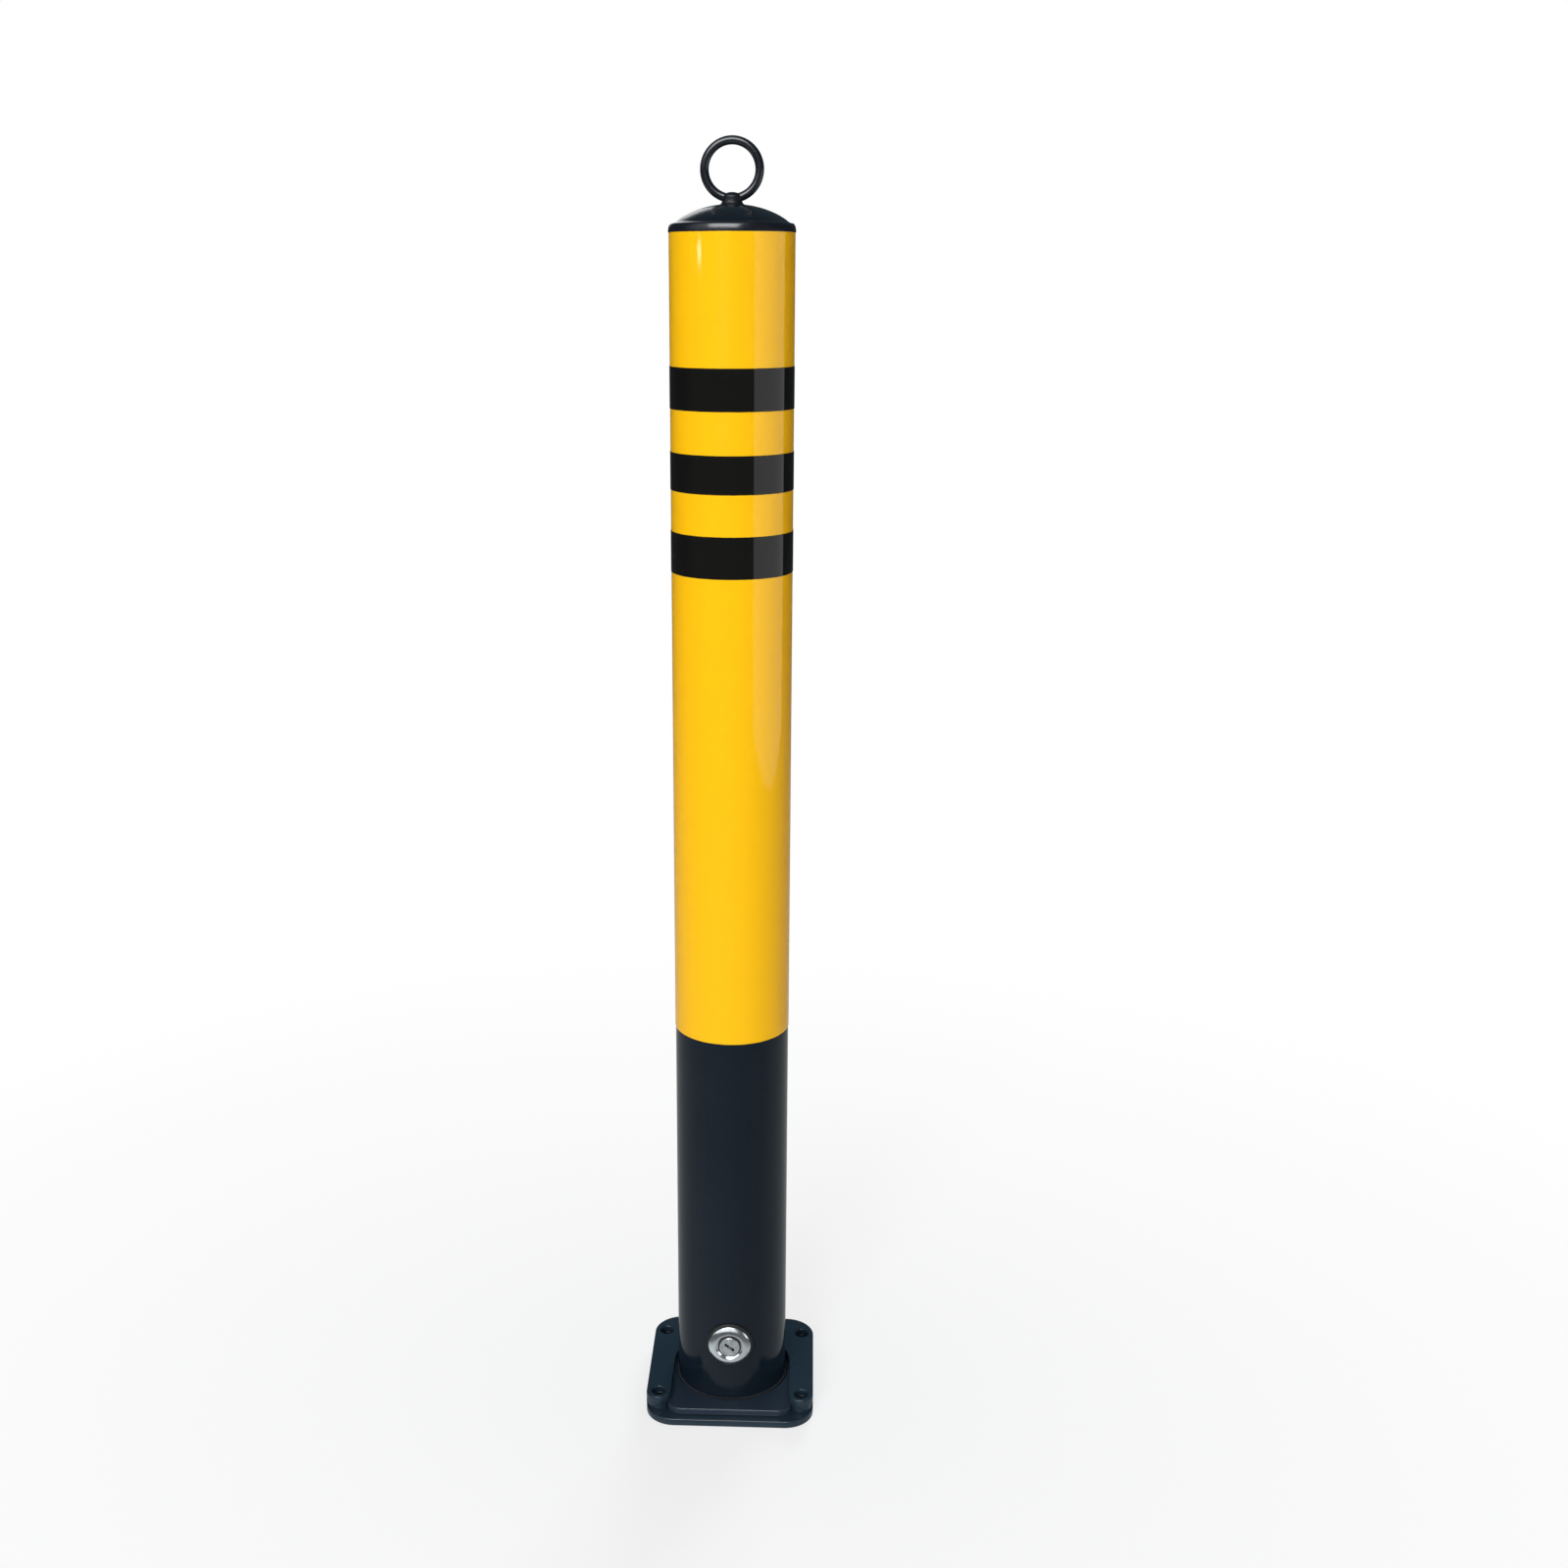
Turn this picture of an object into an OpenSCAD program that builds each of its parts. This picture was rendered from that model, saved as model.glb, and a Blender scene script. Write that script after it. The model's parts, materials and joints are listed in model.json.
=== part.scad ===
// Removable steel safety post that slides into a base bolted to the ground.
// Millimetres, +Z up. The origin is the tube's axis on the ground, and the lock and the way out face -Y.

/* [Tube] */
// Outside diameter of the tube
tube_od = 76; // [70:0.5:90]
// Wall of the tube
tube_wall = 2; // [1.5:0.1:3]
// Length of the tube above the foot plate
tube_length = 780; // [500:5:1200]

/* [Film and bands] */
// Height of the black part below the yellow film, from the tube's lower end
black_length = 266.5; // [150:0.5:350]
// Thickness of the yellow film
film_t = 0.3; // [0.2:0.05:0.6]
// Thickness of a black band
band_t = 0.2; // [0.1:0.05:0.4]
// Top of each black band, below the tube's upper end
band_drop = [79, 130.5, 179.5]; // [40:0.5:250]
// Height of each black band
band_h = [25.5, 23.5, 26]; // [15:0.5:40]

/* [Base] */
// Thickness of the floor plate
floor_t = 5; // [4:0.5:8]
// Thickness of the spacer, which is the height of the groove
spacer_t = 5; // [4:0.5:8]
// Thickness of the lip plate
lip_t = 5; // [3:0.5:8]
// Distance between the anchor holes from front to back
hole_pitch_y = 76; // [70:1:90]
// Diameter of an anchor hole
hole_d = 10; // [8:0.5:12]
// Distance from an anchor hole's centre to the side edge and to the lip's inner edge
hole_edge = 8.5; // [8:0.1:12]
// Distance from an anchor hole's centre to the front and back edge
hole_inset = 19; // [18:1:26]
// Radius of the base's corners
corner_r = 20; // [14:1:24]
// Width of the spacer's rim in front of a front anchor hole
spacer_rim = 2.5; // [2:0.1:3.5]

/* [Foot] */
// Clearance between the foot and the lip above it
foot_play = 0.4; // [0.3:0.1:1]
// Clearance between the foot and the groove at each side
groove_play = 0.3; // [0.3:0.1:1]
// Width of the foot's flange round the tube
foot_flange = 5.2; // [4.5:0.1:8]
// Width of the flange that lies under the lip
lip_cover = 2.2; // [1.5:0.1:2.5]
// Distance from the foot's front edge to the base's front edge
foot_setback = 6; // [3:0.5:15]
// Radius of the foot's front corners
foot_corner_r = 10; // [4:1:20]
// Leg of the weld between the tube and the foot
weld_leg = 2.4; // [1:0.1:2.8]

/* [Cap] */
// Height of the cap's rim
rim_h = 4; // [2:0.1:6]
// How far the rim stands out past the film
rim_over = 0.4; // [0:0.1:2]
// Width of the ledge between the rim's edge and the dome
rim_ledge = 3.9; // [2:0.1:6]
// Height of the dome above the rim
dome_h = 12; // [10:0.5:20]
// Wall of the cap
cap_wall = 2; // [1.5:0.1:3]
// Depth of the skirt inside the tube
skirt_h = 12; // [8:1:25]
// Clearance between the skirt and the tube
skirt_play = 0.2; // [0.1:0.05:0.5]

/* [Ring] */
// Outside diameter of the lifting ring
ring_od = 38.5; // [34:0.5:50]
// Diameter of the ring's wire
ring_wire = 5.3; // [4:0.1:7]
// Distance from the crown to the ring
ring_stand = 0.5; // [0.3:0.1:3]
// Radius of the boss on the crown
boss_r = 7.4; // [6:0.1:10]
// Radius of the boss inside the ring
boss_top_r = 5; // [3.5:0.1:7]
// How far the boss stands up inside the ring
boss_rise = 1; // [0.5:0.1:2]
// Clearance between pieces that are welded or bonded together
seat_play = 0.05; // [0.03:0.01:0.1]

/* [Lock] */
// Height of the lock's axis above the foot plate
lock_h = 43; // [36:0.1:70]
// Diameter of the lock's flange
flange_d = 29; // [26:0.5:32]
// Thickness of the lock's flange
flange_t = 2.8; // [2:0.1:5]
// Bevel of the flange's edge
flange_bevel = 1; // [0.5:0.1:1.5]
// Diameter of the lock's barrel
barrel_d = 19; // [18:0.5:20]
// Clearance round the barrel
barrel_play = 0.2; // [0.1:0.05:0.5]
// Diameter of the seal behind the flange
seal_d = 32; // [31.5:0.5:36]
// Least thickness of the seal
seal_t = 1.5; // [1:0.1:3]
// Diameter of the saddle washer
washer_d = 26; // [24:0.5:28]
// Distance from the tube's inner wall to the saddle washer's flat face
washer_depth = 4.5; // [4:0.1:6]
// Width of the lock nut across its flats
nut_af = 24; // [22.5:0.5:26]
// Thickness of the lock nut
nut_t = 3; // [2:0.1:3.2]
// Diameter of the plug's face
plug_face_d = 14; // [12:0.5:15]
// Depth of the plug's head
plug_head_t = 4; // [3:0.1:6]
// Diameter of the plug's shank
plug_d = 10; // [9:0.5:11]
// Running clearance round the plug
plug_play = 0.06; // [0.04:0.01:0.1]
// Width of the keyway
keyway_w = 1.8; // [1.2:0.1:2.5]
// Length of the keyway across the face
keyway_l = 8; // [6:0.5:10]
// Depth of the keyway
keyway_depth = 9; // [6:0.5:12]
// Slope of the keyway when the lock is open
keyway_angle = -35; // [-90:5:90]
// Width of the square on the plug's inner end
square_w = 6.6; // [6:0.1:7]

/* [Crank and bolt] */
// Thickness of the crank
crank_t = 2; // [1.5:0.1:3]
// Diameter of the crank's pin
pin_d = 4; // [3:0.1:5]
// Clearance between the pin and its slot
pin_play = 0.35; // [0.3:0.05:0.6]
// Thickness of the clip
clip_t = 0.8; // [0.6:0.1:1.2]
// Outside diameter of the clip
clip_d = 9.2; // [8.8:0.1:9.6]
// Clearance between moving pieces of the lock along its axis
lock_play = 0.4; // [0.3:0.05:0.6]
// Thickness of the bolt's folded plate
bolt_t = 3; // [2.5:0.1:4]
// Width of the bolt
bolt_w = 32; // [28:0.5:34]
// Distance between the bolt's two tongues
tongue_pitch = 13; // [12:0.5:15]
// Distance from the tube's inner wall to the front tongue's middle
bolt_depth = 13.8; // [13.5:0.1:15]
// Clearance of a tongue in its slot, front and back
slot_play = 2; // [1:0.1:2.5]
// Clearance of a tongue in its slot, at its ends
slot_end_play = 3; // [1:0.1:4]
// How far the open bolt stands above the foot
tip_raise = 1.7; // [1:0.1:3]
// How far the locked bolt reaches into the floor plate
tip_reach = 3.6; // [3:0.1:3.8]
// Thickness of a bolt guide
guide_t = 3; // [2:0.1:3.5]
// Width of a guide's tongue between the bolt's legs
guide_tongue = 5; // [3:0.1:6]
// Clearance between the bolt and its guides
guide_play = 0.4; // [0.3:0.05:0.6]

/* [Hidden] */
$fn = 96;

// A cut runs this far past the face that it opens.
past = 1;
tube_r = tube_od / 2;
bore_r = tube_r - tube_wall;

// Base: each radius follows from the tube and the foot that has to pass.
foot_r = tube_r + foot_flange;
groove_r = foot_r + groove_play;
lip_r = foot_r - lip_cover;
hole_x = lip_r + hole_edge;
hole_y = hole_pitch_y / 2;
base_half_w = hole_x + hole_edge;
base_half_d = hole_y + hole_inset;
groove_z = floor_t + spacer_t;
foot_t = spacer_t - foot_play;
foot_top = floor_t + foot_t;
foot_front = base_half_d - foot_setback;
spacer_end_r = hole_d / 2 + spacer_rim;
tube_top = foot_top + tube_length;

// Film and bands.
film_r = tube_r + seat_play;
band_r = film_r + film_t + seat_play;

// Cap and ring.
rim_r = film_r + film_t + rim_over;
dome_base_r = rim_r - rim_ledge;
dome_r = (dome_base_r * dome_base_r + dome_h * dome_h) / (2 * dome_h);
dome_z = tube_top + rim_h + dome_h - dome_r;
crown_z = tube_top + rim_h + dome_h;
ring_wire_r = ring_wire / 2;
ring_mid_r = ring_od / 2 - ring_wire_r;
ring_z = crown_z + ring_stand + ring_od / 2;
boss_top_z = ring_z - ring_mid_r + ring_wire_r + boss_rise;

// Crank and bolt: the crank turns the pin a quarter turn, from 45 degrees up to 45 degrees down.
pin_turn = 45;
travel = foot_t + tip_raise + tip_reach;
throw = travel / (2 * sin(pin_turn));
pin_r = pin_d / 2;
pin_x_in = throw * cos(pin_turn);
bolt_x = -(throw + pin_x_in) / 2;
front_tongue_y = bolt_depth - bore_r;
tongue_ys = [front_tongue_y, front_tongue_y + tongue_pitch];
bolt_front = tongue_ys[0] - bolt_t / 2;
bolt_back = tongue_ys[1] + bolt_t / 2;
lock_z = foot_top + lock_h;
pin_z = lock_z + throw * sin(pin_turn);
tip_z = foot_top + tip_raise;
pin_slot_h = pin_d + 2 * pin_play;
pin_slot_l = throw - pin_x_in + pin_slot_h;
web_margin = 4.5;
bolt_top = pin_z + pin_slot_h / 2 + web_margin + bolt_t;
bend_r = bolt_t + 2;
tip_chamfer = 2;
slot_w = bolt_t + 2 * slot_play;
slot_l = bolt_w + 2 * slot_end_play;
guide_top = bolt_top - bolt_t - travel - 8;

// Lock: these are distances from the tube's axis along the lock's axis, towards the front.
shaft_end = -bolt_front + lock_play;
clip_back = shaft_end + clip_t;
crank_back = clip_back + clip_t;
crank_front = crank_back + crank_t;
barrel_end = crank_front + lock_play;
flange_back = tube_r + seal_t;
flange_front = flange_back + flange_t;
washer_flat = bore_r - washer_depth;
plug_head_back = flange_front - plug_head_t;
plug_face_r = plug_face_d / 2;
barrel_r = barrel_d / 2;
clip_seat_r = square_w / 2 - 0.2;

/* Outlines */

// Rectangle between two corners, with one radius at each corner in the order front left, front right, back right, back left.
module rounded_outline(half_w, front, back, front_r, back_r) {
    corners = [
        [-half_w + front_r, front + front_r, front_r],
        [half_w - front_r, front + front_r, front_r],
        [half_w - back_r, back - back_r, back_r],
        [-half_w + back_r, back - back_r, back_r]
    ];
    for (c = corners)
        translate([c[0], c[1]]) circle(r = c[2]);
    translate([-half_w, front + front_r])
        square([2 * half_w, back - back_r - front - front_r]);
    translate([-half_w + front_r, front])
        square([2 * (half_w - front_r), front_r + past]);
    translate([-half_w + back_r, back - back_r - past])
        square([2 * (half_w - back_r), back_r + past]);
}

// Slot with round ends, centred, along X.
module slot_outline(l, w) {
    square([l - w, w], center = true);
    for (side = [-1, 1])
        translate([side * (l - w) / 2, 0]) circle(d = w);
}

// U-shaped way in: round at the back about the tube's axis, straight and open to the front.
module way_in_outline(r) {
    circle(r = r);
    translate([-r, -base_half_d - past]) square([2 * r, base_half_d + past]);
}

// Four anchor holes.
module anchor_outlines() {
    for (x = [-hole_x, hole_x], y = [-hole_y, hole_y])
        translate([x, y]) circle(d = hole_d);
}

// Two slots in which the bolt's tongues drop.
module tongue_slots() {
    for (y = tongue_ys)
        translate([bolt_x, y]) slot_outline(slot_l, slot_w);
}

/* Base */

module floor_plate() {
    color([0.07, 0.1, 0.13])
    linear_extrude(floor_t)
    difference() {
        rounded_outline(base_half_w, -base_half_d, base_half_d, corner_r, corner_r);
        anchor_outlines();
        tongue_slots();
    }
}

// A U whose two arms end in a round about each front anchor hole.
module arms_outline(end_r) {
    intersection() {
        rounded_outline(base_half_w, -base_half_d, base_half_d, corner_r, corner_r);
        translate([-base_half_w, -hole_y]) square([2 * base_half_w, hole_y + base_half_d]);
    }
    for (x = [-hole_x, hole_x])
        translate([x, -hole_y]) circle(r = end_r);
}

module groove_spacer() {
    color([0.07, 0.1, 0.13])
    translate([0, 0, floor_t])
    linear_extrude(spacer_t)
    difference() {
        arms_outline(spacer_end_r);
        way_in_outline(groove_r);
        anchor_outlines();
    }
}

module lip_plate() {
    color([0.08, 0.12, 0.15])
    translate([0, 0, groove_z])
    linear_extrude(lip_t)
    difference() {
        arms_outline(hole_edge);
        way_in_outline(lip_r);
        anchor_outlines();
    }
}

/* Post */

module foot_plate() {
    color([0.08, 0.11, 0.14]) {
        translate([0, 0, floor_t])
        linear_extrude(foot_t)
        difference() {
            union() {
                circle(r = foot_r);
                rounded_outline(foot_r, -foot_front, foot_corner_r, foot_corner_r, foot_corner_r);
            }
            tongue_slots();
        }
        translate([0, 0, foot_top])
        rotate_extrude()
            polygon([[tube_r + seat_play, 0], [tube_r + weld_leg, 0], [tube_r + seat_play, weld_leg]]);
    }
}

module post_tube() {
    color([0.12, 0.14, 0.17])
    translate([0, 0, foot_top])
    difference() {
        cylinder(r = tube_r, h = tube_length);
        translate([0, 0, -past]) cylinder(r = bore_r, h = tube_length + 2 * past);
        translate([0, 0, lock_h])
        rotate([90, 0, 0])
            cylinder(r = barrel_r + barrel_play, h = tube_r + past);
    }
}

module domed_cap() {
    skirt_r = bore_r - skirt_play;
    color([0.08, 0.09, 0.11])
    difference() {
        union() {
            translate([0, 0, tube_top])
            rotate_extrude() {
                square([rim_r - rim_h / 2, rim_h]);
                translate([rim_r - rim_h / 2, rim_h / 2]) circle(d = rim_h);
            }
            intersection() {
                translate([0, 0, dome_z]) sphere(r = dome_r);
                translate([0, 0, tube_top + rim_h / 2]) cylinder(r = dome_base_r, h = dome_h + rim_h);
            }
            translate([0, 0, tube_top - skirt_h]) cylinder(r = skirt_r, h = skirt_h + rim_h / 2);
        }
        intersection() {
            translate([0, 0, dome_z]) sphere(r = dome_r - cap_wall);
            translate([0, 0, tube_top - skirt_h - past])
                cylinder(r = skirt_r - cap_wall, h = skirt_h + rim_h + dome_h);
        }
        translate([0, 0, tube_top - skirt_h - past])
            cylinder(r = skirt_r - cap_wall, h = skirt_h + past + rim_h / 2);
    }
}

module ring_shape(extra) {
    translate([0, 0, ring_z])
    rotate([90, 0, 0])
    rotate_extrude()
        translate([ring_mid_r, 0]) circle(r = ring_wire_r + extra);
}

module ring_boss() {
    boss_base_z = crown_z - boss_r * boss_r / dome_r;
    color([0.08, 0.09, 0.11])
    difference() {
        translate([0, 0, boss_base_z])
            cylinder(r1 = boss_r, r2 = boss_top_r, h = boss_top_z - boss_base_z);
        translate([0, 0, dome_z]) sphere(r = dome_r + seat_play);
        ring_shape(seat_play);
    }
}

module lift_ring() {
    color([0.1, 0.12, 0.14]) ring_shape(0);
}

module sleeve(r, t, z, h) {
    translate([0, 0, z])
    difference() {
        cylinder(r = r + t, h = h);
        translate([0, 0, -past]) cylinder(r = r, h = h + 2 * past);
    }
}

module yellow_film() {
    color([0.98, 0.78, 0.08])
    sleeve(film_r, film_t, foot_top + black_length, tube_length - black_length);
}

module black_band(i) {
    color([0.09, 0.09, 0.09])
    sleeve(band_r, band_t, tube_top - band_drop[i] - band_h[i], band_h[i]);
}

/* Lock: its profiles stand on the lock's axis, with the distance from the tube's axis as height. */

module on_lock_axis() {
    translate([0, 0, lock_z]) rotate([90, 0, 0]) children();
}

module lock_housing() {
    flange_r = flange_d / 2;
    bore_face_r = plug_face_r + plug_play;
    bore_shank_r = plug_d / 2 + plug_play;
    dish_r = plug_face_r + 2.2;
    dish_depth = 0.7;
    color([0.78, 0.8, 0.82])
    on_lock_axis()
    rotate_extrude()
    polygon([
        [bore_shank_r, barrel_end],
        [barrel_r - 0.8, barrel_end],
        [barrel_r, barrel_end + 0.8],
        [barrel_r, flange_back],
        [flange_r, flange_back],
        [flange_r, flange_front - flange_bevel],
        [flange_r - flange_bevel, flange_front],
        [dish_r + dish_depth, flange_front],
        [dish_r, flange_front - dish_depth],
        [bore_face_r, flange_front - dish_depth],
        [bore_face_r, plug_head_back - plug_play],
        [bore_shank_r, plug_head_back - plug_play]
    ]);
}

module lock_seal() {
    color([0.05, 0.05, 0.06])
    difference() {
        on_lock_axis()
        difference() {
            cylinder(d = seal_d, h = flange_back);
            translate([0, 0, -past]) cylinder(r = barrel_r + barrel_play, h = flange_back + 2 * past);
        }
        cylinder(r = tube_r + seat_play, h = tube_top);
    }
}

module lock_washer() {
    color([0.6, 0.62, 0.64])
    intersection() {
        on_lock_axis()
        translate([0, 0, washer_flat])
        difference() {
            cylinder(d = washer_d, h = tube_r);
            translate([0, 0, -past]) cylinder(r = barrel_r + barrel_play, h = tube_r + 2 * past);
        }
        cylinder(r = bore_r - seat_play, h = tube_top);
    }
}

module lock_nut() {
    color([0.7, 0.66, 0.5])
    on_lock_axis()
    translate([0, 0, washer_flat - nut_t])
    difference() {
        cylinder(d = nut_af / cos(30), h = nut_t, $fn = 6);
        translate([0, 0, -past]) cylinder(r = barrel_r + seat_play, h = nut_t + 2 * past);
    }
}

module lock_plug() {
    face = flange_front - 0.2;
    color([0.72, 0.74, 0.76])
    on_lock_axis()
    difference() {
        union() {
            translate([0, 0, plug_head_back]) cylinder(r = plug_face_r, h = face - plug_head_back);
            translate([0, 0, crank_front + lock_play / 2])
                cylinder(d = plug_d, h = plug_head_back - crank_front);
            intersection() {
                translate([-square_w / 2, -square_w / 2, shaft_end])
                    cube([square_w, square_w, barrel_end - shaft_end + past]);
                translate([0, 0, shaft_end]) cylinder(d = plug_d - 1.6, h = barrel_end);
            }
        }
        translate([0, 0, clip_back])
        difference() {
            cylinder(d = plug_d, h = clip_t);
            translate([0, 0, -past]) cylinder(r = clip_seat_r, h = clip_t + 2 * past);
        }
        rotate([0, 0, keyway_angle])
        translate([-keyway_l / 2, -keyway_w / 2, face - keyway_depth])
            cube([keyway_l, keyway_w, keyway_depth + past]);
    }
}

// Arm of the crank: a hub and a pin end, joined by a slightly narrower link.
module arm_outline(hub_r, end_r, reach) {
    waist = 0.85;
    circle(r = hub_r);
    translate([reach, 0]) circle(r = end_r);
    polygon([
        [0, waist * hub_r],
        [reach, waist * end_r],
        [reach, -waist * end_r],
        [0, -waist * hub_r]
    ]);
}

module lock_crank() {
    hub_r = square_w / 2 + 2.9;
    end_r = pin_r + 1.6;
    hole_w = square_w + 2 * seat_play;
    pin_back = -bolt_front - bolt_t - 0.5;
    color([0.66, 0.67, 0.68])
    on_lock_axis()
    rotate([0, 0, 180 - pin_turn]) {
        translate([0, 0, crank_back])
        linear_extrude(crank_t)
        difference() {
            arm_outline(hub_r, end_r, throw);
            rotate([0, 0, pin_turn - 180]) square(hole_w, center = true);
        }
        translate([throw, 0, pin_back]) cylinder(r = pin_r, h = crank_back - pin_back + 0.5);
    }
}

module lock_clip() {
    mouth = clip_seat_r * 1.5;
    color([0.35, 0.36, 0.38])
    on_lock_axis()
    translate([0, 0, clip_back])
    linear_extrude(clip_t - 0.1)
    difference() {
        circle(d = clip_d);
        circle(r = clip_seat_r + seat_play);
        translate([0, -mouth / 2]) square([clip_d, mouth]);
    }
}

/* Bolt and guides */

// Section of the folded bolt in Y and Z: two legs and a web, bent round.
module bolt_section() {
    difference() {
        fold_outline(bolt_front, bolt_back, bolt_top, bend_r);
        fold_outline(bolt_front + bolt_t, bolt_back - bolt_t, bolt_top - bolt_t, bend_r - bolt_t);
    }
}

module fold_outline(front, back, top, r) {
    translate([front, tip_z]) square([back - front, top - r - tip_z]);
    translate([front + r, tip_z]) square([back - front - 2 * r, top - tip_z]);
    for (y = [front + r, back - r])
        translate([y, top - r]) circle(r = r);
}

module lock_bolt() {
    color([0.7, 0.71, 0.72])
    difference() {
        translate([bolt_x - bolt_w / 2, 0, 0])
        rotate([90, 0, 90])
        linear_extrude(bolt_w)
            bolt_section();
        translate([bolt_x, bolt_front + bolt_t + past, pin_z])
        rotate([90, 0, 0])
        linear_extrude(bolt_t + 2 * past)
            slot_outline(pin_slot_l, pin_slot_h);
        for (side = [-1, 1])
            translate([bolt_x + side * bolt_w / 2, 0, tip_z])
            rotate([0, 45, 0])
                cube([tip_chamfer * sqrt(2), tube_od, tip_chamfer * sqrt(2)], center = true);
    }
}

// Rail beside the bolt, with a tongue between the bolt's legs. side is -1 at the left and 1 at the right.
module bolt_guide(side) {
    inner = bolt_w / 2 + guide_play;
    rail_y = [tongue_ys[0], tongue_ys[1]];
    tongue_y = [bolt_front + bolt_t + guide_play, bolt_back - bolt_t - guide_play];
    color([0.45, 0.46, 0.48])
    translate([bolt_x, 0, foot_top])
    linear_extrude(guide_top - foot_top)
    mirror([side < 0 ? 1 : 0, 0]) {
        translate([inner, rail_y[0]]) square([guide_t, rail_y[1] - rail_y[0]]);
        translate([inner - guide_tongue, tongue_y[0]])
            square([guide_tongue + past, tongue_y[1] - tongue_y[0]]);
    }
}

floor_plate();
groove_spacer();
lip_plate();
foot_plate();
post_tube();
domed_cap();
ring_boss();
lift_ring();
yellow_film();
black_band(0);  // black_band_1
black_band(1);  // black_band_2
black_band(2);  // black_band_3
lock_housing();
lock_seal();
lock_washer();
lock_nut();
bolt_guide(-1);  // bolt_guide_left
bolt_guide(1);  // bolt_guide_right
lock_plug();
lock_crank();
lock_clip();
lock_bolt();
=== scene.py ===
import json
import logging
import math
from dataclasses import dataclass, field
from enum import Enum

import bmesh
import bpy
from mathutils import Matrix, Vector, noise
from mathutils.geometry import tessellate_polygon


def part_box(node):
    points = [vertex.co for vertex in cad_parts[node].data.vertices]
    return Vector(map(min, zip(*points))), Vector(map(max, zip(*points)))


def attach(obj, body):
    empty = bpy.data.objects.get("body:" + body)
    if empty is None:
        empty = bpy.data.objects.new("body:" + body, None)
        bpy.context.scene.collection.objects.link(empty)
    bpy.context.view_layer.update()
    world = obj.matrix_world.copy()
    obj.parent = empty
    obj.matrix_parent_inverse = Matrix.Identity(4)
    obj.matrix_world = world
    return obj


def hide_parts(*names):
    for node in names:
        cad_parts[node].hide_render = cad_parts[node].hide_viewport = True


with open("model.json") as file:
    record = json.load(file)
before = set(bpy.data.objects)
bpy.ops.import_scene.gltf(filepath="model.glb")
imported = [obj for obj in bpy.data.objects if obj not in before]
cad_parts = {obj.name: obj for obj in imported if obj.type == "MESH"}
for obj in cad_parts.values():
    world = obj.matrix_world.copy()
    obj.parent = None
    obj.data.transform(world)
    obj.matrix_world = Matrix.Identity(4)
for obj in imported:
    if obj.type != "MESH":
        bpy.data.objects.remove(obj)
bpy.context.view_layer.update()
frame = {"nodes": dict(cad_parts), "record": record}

LOG = logging.getLogger("safety_post")
MM = 0.001
MERGE = 1e-7       # points nearer than this are one point
SHARP = 32.0       # edges steeper than this many degrees are shaded sharp

Point = tuple[float, float]
Loop = list[Point]
Colour = tuple[float, float, float]
Socket = bpy.types.NodeSocket
Thing = bpy.types.Object
Finish = bpy.types.Material


class Body(Enum):
    """The rigid bodies that the pieces made here ride on."""

    BASE = "base"
    POST = "post"
    PLUG = "plug"


class Slot(Enum):
    """The record's material slots, one passed with each piece made here."""

    BASE_PAINT = "base_paint"
    POST_PAINT = "post_paint"
    CAP_PAINT = "cap_paint"
    YELLOW_FILM = "yellow_film"
    BLACK_FILM = "black_film"
    LOCK_CHROME = "lock_chrome"
    PLUG_METAL = "plug_metal"
    SEAL_RUBBER = "seal_rubber"
    ZINC_STEEL = "zinc_steel"


class Facing(Enum):
    """Which light a lamp gives."""

    GLOSS_ONLY = "gloss only"
    SOFT_ONLY = "soft only"


# Outlines in a plane


def arc(centre: Point, radius: float, start: float, end: float, steps: int) -> Loop:
    """Points on an arc.

    Args:
        centre: the arc's centre.
        radius: its radius.
        start: the first point's angle, in degrees.
        end: the last point's angle, in degrees.
        steps: how many chords it has.

    Returns:
        The points, with both ends.
    """
    angles = [math.radians(start + (end - start) * k / steps) for k in range(steps + 1)]
    return [(centre[0] + radius * math.cos(a), centre[1] + radius * math.sin(a)) for a in angles]


def round_hole(centre: Point, radius: float, steps: int = 40) -> Loop:
    """A hole's outline, turning clockwise so that the plate lies on its left."""
    return arc(centre, radius, 360, 0, steps)[:-1]


def slot_hole(centre: Point, length: float, width: float, steps: int = 16) -> Loop:
    """The outline of a slot along X with round ends, turning clockwise.

    Args:
        centre: its middle.
        length: its length over the round ends.
        width: its width.
        steps: how many chords each end has.

    Returns:
        The outline.
    """
    reach = (length - width) / 2
    right = arc((centre[0] + reach, centre[1]), width / 2, 90, -90, steps)
    left = arc((centre[0] - reach, centre[1]), width / 2, 270, 90, steps)
    return right + left


def inset_loop(loop: Loop, inset: float, bluntest: float = 0.2) -> Loop:
    """Moves each point of a closed outline to its left, along the mitre of its two sides.

    Args:
        loop: the outline.
        inset: how far each side moves.
        bluntest: the least share of a mitre that a very sharp corner is divided by.

    Returns:
        The moved outline, with as many points.
    """
    moved = []
    count = len(loop)
    for k, (x, y) in enumerate(loop):
        before = Vector((x - loop[k - 1][0], y - loop[k - 1][1])).normalized()
        after = Vector((loop[(k + 1) % count][0] - x, loop[(k + 1) % count][1] - y)).normalized()
        left = Vector((-before.y - after.y, before.x + after.x))
        mitre = left * (inset / max(left.length_squared / 2, bluntest))
        moved.append((x + mitre.x, y + mitre.y))
    return moved


# Meshes


def piece(name: str, mesh: bpy.types.Mesh) -> Thing:
    """Links a mesh to the scene as an object at the origin.

    Args:
        name: the object's name.
        mesh: its mesh.

    Returns:
        The object.
    """
    made = bpy.data.objects.new(name, mesh)
    bpy.context.scene.collection.objects.link(made)
    return made


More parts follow.
